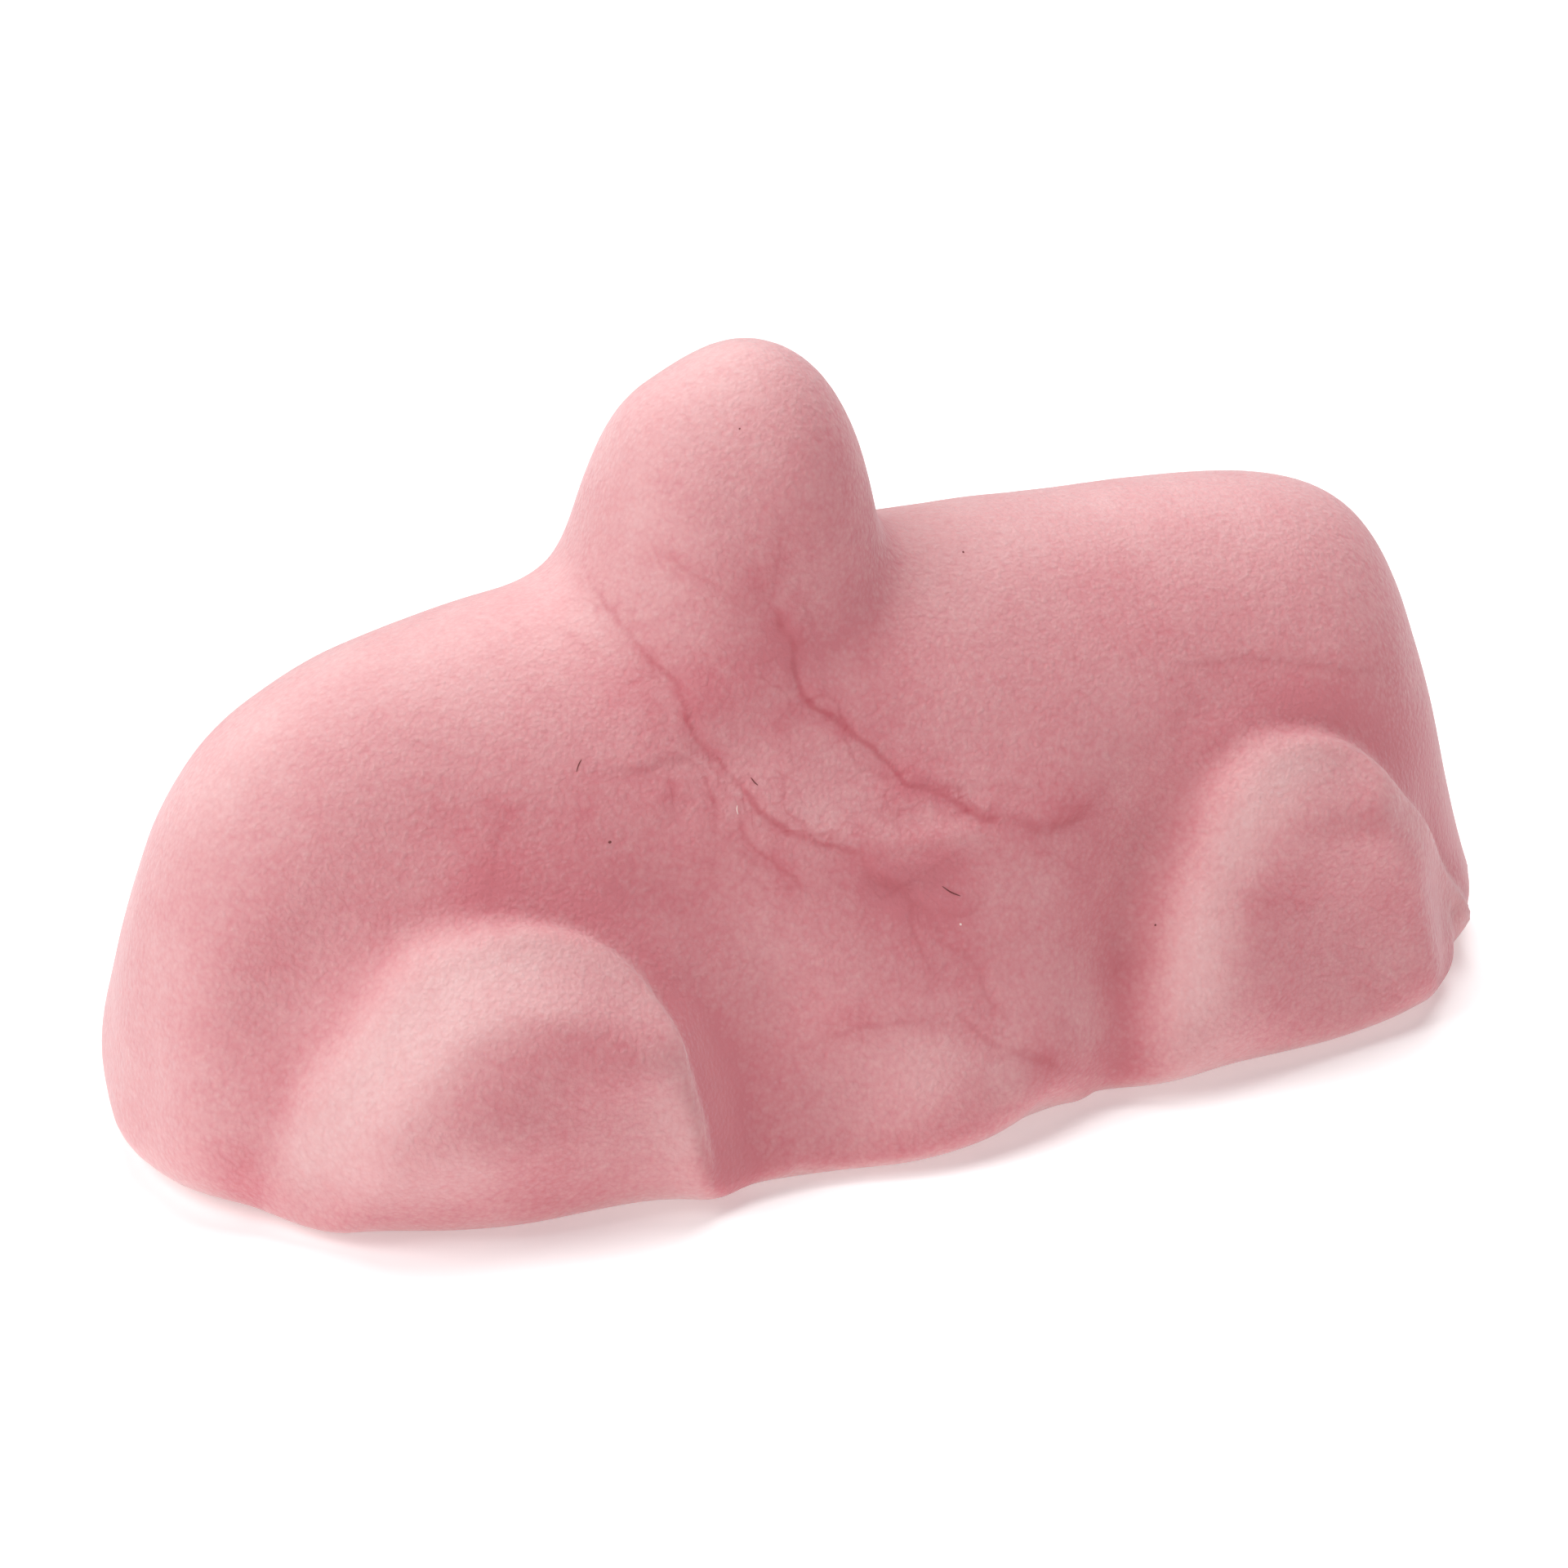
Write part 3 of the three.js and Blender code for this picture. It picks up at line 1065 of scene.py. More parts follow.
@dataclass
class Candy:
    """The candy itself: its form, its net and the relief of its skin."""

    form: CandyForm = field(default_factory=CandyForm)
    net: Net = field(default_factory=Net)
    relief: Relief = field(default_factory=Relief)
    creases: tuple[Crease, ...] = CREASES
    presses: tuple[Press, ...] = PRESSES
    low_edge: Edge = LOW_EDGE
    tall_edge: Edge = TALL_EDGE
    arch_edge_painted_light: ArchEdgePaintedLight = ArchEdgePaintedLight()
    patches: tuple[Patch, ...] = STARCH_AND_PAINTED_LIGHT_PATCHES
    dents: tuple[Dent, ...] = DENTS
    form_group: bpy.types.NodeTree | None = None
    step_group: bpy.types.NodeTree | None = None

    def distance(self, tree: Tree, place: Term) -> Term:
        """Adds the distance from a place to the candy's surface."""
        return Term(tree, tree.group_node(self.form_group, {"Place": place}).outputs["Distance"])

    def build_step(self) -> bpy.types.NodeTree:
        """Builds the group that moves points straight onto the surface.

        Returns:
            A group that takes a geometry and gives it back after one step.
        """
        tree = Tree.new("Step onto candy")
        geometry = tree.input("Geometry", None, "NodeSocketGeometry")
        reach = tree.input("Reach", 0.01)
        place = tree.term("GeometryNodeInputPosition")
        corners = ((1.0, -1.0, -1.0), (-1.0, -1.0, 1.0), (-1.0, 1.0, -1.0), (1.0, 1.0, 1.0))
        slope: Value = (0.0, 0.0, 0.0)
        height: Value = 0.0
        for corner in corners:
            away = tree.vector(*corner) * reach
            d = self.distance(tree, place + away)
            slope = tree.combine("ADD", slope, tree.vector(*corner) * d)
            height = tree.combine("ADD", height, d)
        slope = slope * (0.25 / reach)
        steep = tree.vector_math("DOT_PRODUCT", slope, slope)
        move = 0.25 * height / tree.math("MAXIMUM", steep, 0.05)
        move = tree.math("MINIMUM", tree.math("MAXIMUM", move, -0.8), 0.8)
        tree.output("Geometry", tree.moved(geometry, offset=slope * -move), "NodeSocketGeometry")
        return tree.group

    def onto(self, tree: Tree, geometry: Term, steps: int) -> Term:
        """Adds steps that draw a geometry onto the surface.

        Args:
            tree: where the nodes go.
            geometry: what is drawn onto it.
            steps: how many steps.

        Returns:
            The geometry after the last step.
        """
        for _ in range(steps):
            node = tree.group_node(self.step_group, {"Geometry": geometry})
            geometry = Term(tree, node.outputs["Geometry"])
        return geometry

    def coarse_net(self, tree: Tree, n: SimpleNamespace) -> Term:
        """Adds the closed net of squares, spread from the line inside the candy onto its surface.

        Args:
            tree: where the nodes go.
            n: the net's sizes.

        Returns:
            The net, not yet evened out.
        """
        counts = (n.squares_along + 1, n.squares_across + 1, n.squares_up + 1)
        box = tree.term("GeometryNodeMeshCube", (2.0, 2.0, 2.0), *counts)
        x, y, z = tree.term("GeometryNodeInputPosition").parts()
        ray = tree.vector(1.2 * x * x * x * x * x, y, z)
        ray = tree.vector_math("NORMALIZE", ray)
        capture = tree.add("GeometryNodeCaptureAttribute", box)
        capture.capture_items.new("VECTOR", "Ray")
        tree.feed(capture.inputs["Ray"], ray)
        ray = Term(tree, capture.outputs["Ray"])
        start = tree.vector(x * n.spine_half, 0.0, n.spine_height)
        net = tree.moved(Term(tree, capture.outputs["Geometry"]), place=start)
        net = tree.moved(net, offset=ray * n.farthest)

        def inward(geometry: Term) -> Term:
            """One step along the rays towards the surface."""
            d = self.distance(tree, tree.term("GeometryNodeInputPosition"))
            return tree.moved(geometry, offset=ray * (d * -0.5))

        return tree.repeat(70, net, inward)

    def evened(self, tree: Tree, net: Term, rounds: Term) -> Term:
        """Adds the evening of the net, in which long sides pull harder than short ones.

        Args:
            tree: where the nodes go.
            net: the net.
            rounds: how often it is evened.

        Returns:
            The evened net, on the surface.
        """

        def even(geometry: Term) -> Term:
            """One round: every point goes towards the weighted mean of its neighbours.

            Args:
                geometry: the net.

            Returns:
                The net after the round.
            """
            ends = tree.add("GeometryNodeInputMeshEdgeVertices")
            first = Term(tree, ends.outputs["Position 1"])
            second = Term(tree, ends.outputs["Position 2"])
            length = tree.vector_math("DISTANCE", first, second)
            pull = (first + second) * 0.5 * length
            mean = tree.term("GeometryNodeFieldOnDomain", pull, domain="EDGE", data_type="FLOAT_VECTOR")
            weight = tree.term("GeometryNodeFieldOnDomain", length, domain="EDGE", data_type="FLOAT")
            capture = tree.add("GeometryNodeCaptureAttribute", geometry)
            capture.capture_items.new("VECTOR", "Mean")
            capture.capture_items.new("FLOAT", "Weight")
            tree.feed(capture.inputs["Mean"], mean)
            tree.feed(capture.inputs["Weight"], weight)
            place = Term(tree, capture.outputs["Mean"]) * (1.0 / Term(tree, capture.outputs["Weight"]))
            geometry = tree.moved(Term(tree, capture.outputs["Geometry"]), place=place)
            return self.onto(tree, geometry, 2)

        return tree.repeat(rounds, net, even)

    def crease_lines(self, tree: Tree, routes: Term, wander: Term) -> Term:
        """Adds the lines: the routes, pushed onto the sides and rounded, and the creases wander.

        Args:
            tree: where the nodes go.
            routes: the routes of creases and edges, beside the candy.
            wander: how far a crease strays from its route.

        Returns:
            The lines on the surface, in short steps.
        """

        def sideways(geometry: Term) -> Term:
            """One step of the routes across the candy towards its surface.

            Args:
                geometry: the routes.

            Returns:
                The routes after the step.
            """
            place = tree.term("GeometryNodeInputPosition")
            _, y, _ = place.parts()
            d = self.distance(tree, place)
            return tree.moved(geometry, offset=tree.vector(0.0, tree.math("SIGN", y) * d * -0.5, 0.0))

        lines = tree.repeat(60, routes, sideways)
        lines = tree.term("GeometryNodeMeshToCurve", lines)
        lines = tree.term("GeometryNodeCurveSplineType", lines, spline_type="CATMULL_ROM")
        inputs = {"Curve": lines, "Length": 0.1}
        lines = tree.named("GeometryNodeResampleCurve", inputs, "Curve", mode="LENGTH")
        place = tree.term("GeometryNodeInputPosition")
        stray = tree.noise(place, 0.9, 3.0, "Color") - (0.5, 0.5, 0.5)
        is_edge = tree.named("GeometryNodeInputNamedAttribute", {"Name": "edge"}, "Attribute")
        lines = tree.moved(lines, offset=stray * 3.0 * (wander * (1.0 - is_edge)))
        lines = tree.term("GeometryNodeCurveToMesh", lines)
        return self.onto(tree, lines, 3)

    def pressed(self, tree: Tree, place: Term) -> Term:
        """Adds the height of the near side's swells and hollows at a place.

        Args:
            tree: where the nodes go.
            place: the place.

        Returns:
            The height, 0 on the far side.
        """
        x, y, z = place.parts()
        total: Value = 0.0
        for press in self.presses:
            along = (x - press.x) / press.radius_x
            up = (z - press.z) / press.radius_z
            hump = tree.math("EXPONENT", -(along * along + up * up))
            total = tree.combine("ADD", total, hump * press.height)
        return total * tree.ease(self.form.sides_from, self.form.sides_to, -y)

    def from_edge(self, tree: Tree, place: Term, edges: Term) -> Term:
        """Adds the distance from the nearest edge of a wheel's arch, above zero inside the arch.

        Args:
            tree: where the nodes go.
            place: the place it is told for.
            edges: the lines of the edges.

        Returns:
            The distance.
        """
        x, _, z = place.parts()
        near = tree.add("GeometryNodeProximity", edges, target_element="EDGES")
        near_x, _, near_z = Term(tree, near.outputs["Position"]).parts()
        tall = tree.math("GREATER_THAN", x, 0.0)
        out_x = near_x - tree.mix(self.low_edge.x, self.tall_edge.x, tall)
        out_z = near_z - tree.mix(self.low_edge.z, self.tall_edge.z, tall)
        inside = tree.math("SIGN", (near_x - x) * out_x + (near_z - z) * out_z)
        return inside * Term(tree, near.outputs["Distance"])

    def step_width(self, tree: Tree, place: Term, r: SimpleNamespace) -> Term:
        """Adds how wide the step at the edge of a wheel's arch is: soft towards the low end.

        Args:
            tree: where the nodes go.
            place: the place.
            r: the relief's sizes.

        Returns:
            Half the width of the step.
        """
        x, _, _ = place.parts()
        tall = tree.math("GREATER_THAN", x, 0.0)
        along = x - tree.mix(self.low_edge.x, self.tall_edge.x, tall)
        turn = tree.ease(r.soft_until, r.sharp_from, along)
        return tree.mix(r.soft_edge, r.sharp_edge, turn)

    def starch_and_painted_light_spots(self, tree: Tree, place: Term, inside: Term, width: Term) -> Term:
        """Adds deep pink from painted light at arch edges, and from spots of starch and painted light.

        Args:
            tree: where the nodes go.
            place: the place.
            inside: its distance from the nearest edge of a wheel's arch.
            width: how wide the step at that edge is.

        Returns:
            The share of deep pink added there: below zero on an arch's crest, as painted highlight.
        """
        # Paler crest as painted highlight, deeper groove as painted shade.
        s = self.arch_edge_painted_light
        crest = (inside - width) / (width * s.crest_spread + s.crest_least)
        groove = (inside + s.groove_place) / s.groove_width
        total = s.groove * tree.math("EXPONENT", -(groove * groove))
        total = total - s.crest * tree.math("EXPONENT", -(crest * crest))
        for patch in self.patches:
            near = tree.vector_math("DISTANCE", place, patch.place) * (1.0 / patch.radius)
            total = total + tree.math("EXPONENT", -(near * near)) * patch.share
        return total

    def nearest_value(self, tree: Tree, lines: Term, name: str) -> Term:
        """Adds what the nearest point of the creases' lines holds, blurred a little.

        Args:
            tree: where the nodes go.
            lines: the creases' lines.
            name: the name of what they hold.

        Returns:
            The value.
        """
        nearest = tree.named("GeometryNodeSampleNearest", {"Geometry": lines}, "Index")
        there = tree.named("GeometryNodeInputNamedAttribute", {"Name": name}, "Attribute")
        inputs = {"Geometry": lines, "Value": there, "Index": nearest}
        return tree.blurred(tree.named("GeometryNodeSampleIndex", inputs, "Value"), 6)

    def marks(self, tree: Tree, creases: Term, edges: Term, r: SimpleNamespace) -> SimpleNamespace:
        """Adds what each point of the skin knows of the creases, the edges and the form round it.

        Args:
            tree: where the nodes go.
            creases: the lines of the creases.
            edges: the lines of the wheels' edges.
            r: the relief's sizes.

        Returns:
            Its place, normal and hollow, the offset, gap, strength and width of the nearest crease,
            and how far inside the nearest edge it is, with the width of the step there.
        """
        place = tree.term("GeometryNodeInputPosition")
        normal = tree.term("GeometryNodeInputNormal")
        near = tree.add("GeometryNodeProximity", creases, target_element="EDGES")
        # How shut in the place is, felt off its normal; the finish paints shade in hollows by it.
        hollow: Value = 1.0
        for reach, share in HOLLOW_SHADE_REACHES:
            d = self.distance(tree, place + normal * reach)
            hollow = tree.combine("SUBTRACT", hollow, d * (share / reach))
        return SimpleNamespace(
            place=place,
            normal=normal,
            hollow=hollow,
            offset=Term(tree, near.outputs["Position"]) - place,
            gap=Term(tree, near.outputs["Distance"]),
            strength=self.nearest_value(tree, creases, "strength"),
            width=self.nearest_value(tree, creases, "width"),
            inside=self.from_edge(tree, place, edges),
            step_width=self.step_width(tree, place, r),
        )

    def relief_height(self, tree: Tree, m: SimpleNamespace, r: SimpleNamespace) -> Term:
        """Adds how far the skin stands off the smooth form.

        Args:
            tree: where the nodes go.
            m: what each point knows, as marks gives it.
            r: the relief's sizes.

        Returns:
            The height, 0 on the underside.
        """
        _, _, z = m.place.parts()
        _, _, rise = m.offset.parts()
        height = (tree.noise(m.place, r.uneven_scale, 1.5) - 0.5) * 4.0 * r.unevenness
        away = m.gap / r.crease_width
        groove = tree.math("EXPONENT", -(away * away))
        above = tree.ease(-0.15, 0.15, -rise)
        lip = tree.math("EXPONENT", -(m.gap / r.lip_width)) * (above * 1.3 - 0.3)
        height = height + m.strength * (r.lip_height * lip - r.crease_depth * groove)
        height = tree.blurred(height, 1)
        wide = tree.ease(-r.edge_outside, r.edge_inside, m.inside)
        step = tree.ease(-m.step_width, m.step_width, m.inside) - wide
        step = step * tree.ease(0.0, r.edge_fade, z)
        height = height + self.pressed(tree, m.place) + step * r.edge_height
        for dent in self.dents:
            near_dent = tree.vector_math("DISTANCE", m.place, dent.place) * (1.0 / dent.radius)
            height = height - dent.depth * tree.math("EXPONENT", -(near_dent * near_dent))
        return height * tree.ease(r.foot_from, r.foot_to, z)

    def build_tree(self) -> bpy.types.NodeTree:
        """Builds the tree that makes the whole candy from the routes of its creases.

        Returns:
            The tree, with a named input for each of its sizes.
        """
        self.form_group = self.form.group()
        self.step_group = self.build_step()
        tree = Tree.new("Foam candy")
        routes = tree.input("Geometry", None, "NodeSocketGeometry")
        n = tree.sizes("Net", self.net)
        r = tree.sizes("Relief", self.relief)
        material = tree.input("Finish", None, "NodeSocketMaterial")

        net = self.evened(tree, self.coarse_net(tree, n), n.evening_rounds)
        net = tree.named("GeometryNodeSubdivisionSurface", {"Mesh": net, "Level": n.refinements}, "Mesh")
        net = self.onto(tree, net, 3)
        lines = self.crease_lines(tree, routes, r.wander)
        is_edge = tree.named("GeometryNodeInputNamedAttribute", {"Name": "edge"}, "Attribute")
        chosen = tree.math("GREATER_THAN", is_edge, 0.5)
        parted = tree.add("GeometryNodeSeparateGeometry", lines, chosen, domain="POINT")
        edges = Term(tree, parted.outputs["Selection"])
        lines = Term(tree, parted.outputs["Inverted"])

        m = self.marks(tree, lines, edges, r)
        net = tree.stored(net, CREASE_OFFSET, m.offset, "FLOAT_VECTOR")
        net = tree.stored(net, CREASE_GAP, m.gap)
        net = tree.stored(net, CREASE_STRENGTH, m.strength)
        net = tree.stored(net, CREASE_WIDTH, m.width)
        net = tree.stored(net, HOLLOW_SHADE, m.hollow)
        # The normal is kept so that the finish can paint light and shade by which way the skin faces.
        net = tree.stored(net, FACING, m.normal, "FLOAT_VECTOR")
        # Stores the painted highlight and shade of the arches' edges and the round spots of starch and
        # painted light.
        net = tree.stored(net, STARCH_AND_PAINTED_LIGHT_SPOTS, self.starch_and_painted_light_spots(tree, m.place, m.inside, m.step_width))
        net = tree.moved(net, offset=m.normal * self.relief_height(tree, m, r))

        net = tree.moved(net, place=tree.term("GeometryNodeInputPosition") * MILLIMETRE)
        net = tree.named("GeometryNodeSetShadeSmooth", {"Geometry": net}, "Geometry")
        net = tree.named("GeometryNodeRealizeInstances", {"Geometry": net}, "Geometry")
        net = tree.named("GeometryNodeSetMaterial", {"Geometry": net, "Material": material}, "Geometry")
        tree.output("Geometry", net, "NodeSocketGeometry")
        return tree.group

    def routes_mesh(self) -> bpy.types.Mesh:
        """Makes the mesh of edges that the tree starts from.

        Returns:
            One line for each crease and for each edge of an arch, with its width and its strength.
        """
        mesh = bpy.data.meshes.new("crease_routes")
        points: list[Point3] = []
        edges: list[tuple[int, int]] = []
        strengths: list[float] = []
        widths: list[float] = []
        is_edge: list[float] = []
        arches = [Crease(side, 0.0, 1.0, e.route) for side in Side for e in (self.low_edge, self.tall_edge)]
        for number, crease in enumerate((*self.creases, *arches)):
            last = len(crease.route) - 1
            for i, (x, z) in enumerate(crease.route):
                if i:
                    edges.append((len(points) - 1, len(points)))
                points.append((x, BESIDE * crease.side.value, z))
                strengths.append(crease.strength * (0.35 if i in (0, last) else 1.0))
                widths.append(crease.width)
                is_edge.append(float(number >= len(self.creases)))
        mesh.from_pydata(points, edges, [])
        for name, held in (("strength", strengths), ("width", widths), ("edge", is_edge)):
            mesh.attributes.new(name, "FLOAT", "POINT").data.foreach_set("value", held)
        return mesh

    def build(self, finish: bpy.types.Material) -> bpy.types.Object:
        """Makes the candy's mesh and puts it in place of the CAD solid.

        Args:
            finish: the skin's material.

        Returns:
            The finished piece.
        """
        values = {"Finish": finish}
        for title, holder in (("Net", self.net), ("Relief", self.relief)):
            for size in fields(holder):
                values[f"{title} {size.name.replace('_', ' ')}"] = getattr(holder, size.name)
        piece = grown("candy_foam", self.routes_mesh(), self.build_tree(), values)
        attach(piece, BODY_NAME)
        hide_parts(CAD_NODE)
        return piece


@dataclass
class Lint:
    """The few short fibres and crumbs that stick to the candy's skin."""

    fibres: tuple[Fibre, ...] = FIBRES
    sides: int = 6

    def build_tree(self) -> bpy.types.NodeTree:
        """Builds the tree that lays each fibre on the candy and gives it its thickness.

        Returns:
            The tree, with the candy, the number of sides and the finish as named inputs.
        """
        tree = Tree.new("Lint")
        routes = tree.input("Geometry", None, "NodeSocketGeometry")
        candy = tree.input("Candy", None, "NodeSocketObject")
        sides = tree.input("Sides", 6, "NodeSocketInt")
        material = tree.input("Finish", None, "NodeSocketMaterial")
        skin = tree.named("GeometryNodeObjectInfo", {"Object": candy}, "Geometry")
        near = tree.add("GeometryNodeProximity", skin, target_element="FACES")
        lines = tree.moved(routes, place=Term(tree, near.outputs["Position"]))
        lines = tree.term("GeometryNodeMeshToCurve", lines)
        lines = tree.term("GeometryNodeCurveSplineType", lines, spline_type="CATMULL_ROM")
        inputs = {"Curve": lines, "Count": POINTS_IN_FIBRE}
        lines = tree.named("GeometryNodeResampleCurve", inputs, "Curve", mode="COUNT")
        thickness = tree.named("GeometryNodeInputNamedAttribute", {"Name": "thickness"}, "Attribute")
        along = tree.named("GeometryNodeSplineParameter", {}, "Factor") * 2.0 - 1.0
        thinning = tree.math("SQRT", 1.0 - along * along * 0.85)
        ring = tree.named("GeometryNodeCurvePrimitiveCircle", {"Resolution": sides, "Radius": 1.0}, "Curve")
        inputs = {"Curve": lines, "Profile Curve": ring, "Scale": thickness * thinning, "Fill Caps": True}
        tubes = tree.named("GeometryNodeCurveToMesh", inputs, "Mesh")
        tubes = tree.named("GeometryNodeSetShadeSmooth", {"Geometry": tubes}, "Geometry")
        tubes = tree.named("GeometryNodeRealizeInstances", {"Geometry": tubes}, "Geometry")
        tubes = tree.named("GeometryNodeSetMaterial", {"Geometry": tubes, "Material": material}, "Geometry")
        tree.output("Geometry", tubes, "NodeSocketGeometry")
        return tree.group

    def routes_mesh(self) -> bpy.types.Mesh:
        """Makes the mesh of edges that the tree starts from.

        Returns:
            One line of edges for each fibre, with its thickness and whether it is pale.
        """
        mesh = bpy.data.meshes.new("lint_routes")
        points: list[Point3] = []
        edges: list[tuple[int, int]] = []
        thickness: list[float] = []
        pale: list[float] = []
        for fibre in self.fibres:
            for i, place in enumerate(fibre.route):
                if i:
                    edges.append((len(points) - 1, len(points)))
                points.append(tuple(v * MILLIMETRE for v in place))
                thickness.append(fibre.radius * MILLIMETRE)
                pale.append(float(fibre.pale))
        mesh.from_pydata(points, edges, [])
        for name, held in (("thickness", thickness), (PALE, pale)):
            mesh.attributes.new(name, "FLOAT", "POINT").data.foreach_set("value", held)
        return mesh

    def build(self, candy: bpy.types.Object, finish: bpy.types.Material) -> bpy.types.Object:
        """Makes the fibres on the finished candy.

        Args:
            candy: the piece that they stick to.
            finish: their material.

        Returns:
            The finished piece.
        """
        values = {"Candy": candy, "Sides": self.sides, "Finish": finish}
        piece = grown("candy_lint", self.routes_mesh(), self.build_tree(), values)
        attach(piece, BODY_NAME)
        return piece


@dataclass(frozen=True)
class LintFinish:
    """Fibres and crumbs: dull, some dark brown and some nearly white."""

    dark: Colour = (0.18, 0.04, 0.04)
    light: Colour = (0.95, 0.78, 0.74)
    roughness: float = 0.8
    gloss: float = 0.1

    def material(self) -> bpy.types.Material:
        """Builds the material.

        Returns:
            The material.
        """
        material = bpy.data.materials.new("lint")
        material.use_nodes = True
        tree = Tree(material.node_tree)
        shader = material.node_tree.nodes["Principled BSDF"]
        place = Term(tree, tree.add("ShaderNodeTexCoord").outputs["Object"]) * (1.0 / MILLIMETRE)
        pale = Term(tree, tree.add("ShaderNodeAttribute", attribute_name=PALE).outputs["Fac"])
        share = tree.math("MINIMUM", pale + tree.noise(place, 12.0, 2.0) * 0.08, 1.0)
        colour = tree.add("ShaderNodeMix", data_type="RGBA")
        tree.feed(colour.inputs[0], share)
        colour.inputs[6].default_value = (*self.dark, 1.0)
        colour.inputs[7].default_value = (*self.light, 1.0)
        tree.feed(shader.inputs["Base Color"], Term(tree, colour.outputs[2]))
        shader.inputs["Roughness"].default_value = self.roughness
        shader.inputs["Specular IOR Level"].default_value = self.gloss
        return material


@dataclass(frozen=True)
class StarchAndPaintedLight:
    """How much deep pink shows: a base share, plus starch, foam tone, and painted light and shade."""

    base: float = 0.65
    painted_shade_in_hollows: float = 0.31
    by_creases: float = 0.36
    towards_tall_end: float = 0.38
    most_along: float = 0.5
    facing_up: float = 0.39
    lying_flat: float = -0.86
    painted_translucence_low_down: float = 0.22
    painted_translucence_at_foot: float = 0.35
    clouds: float = 0.36
    smudges: float = 0.24


@dataclass(frozen=True)
class CreaseTint:
    """How much of the creases' colour lies in the line, in its halo and in the branches round it."""

    line: float = 0.58
    line_reach: float = 0.14
    halo: float = 0.19
    halo_reach: float = 0.5
    branches: float = 0.28
    branch_width: float = 0.08
    branch_scale: float = 0.85


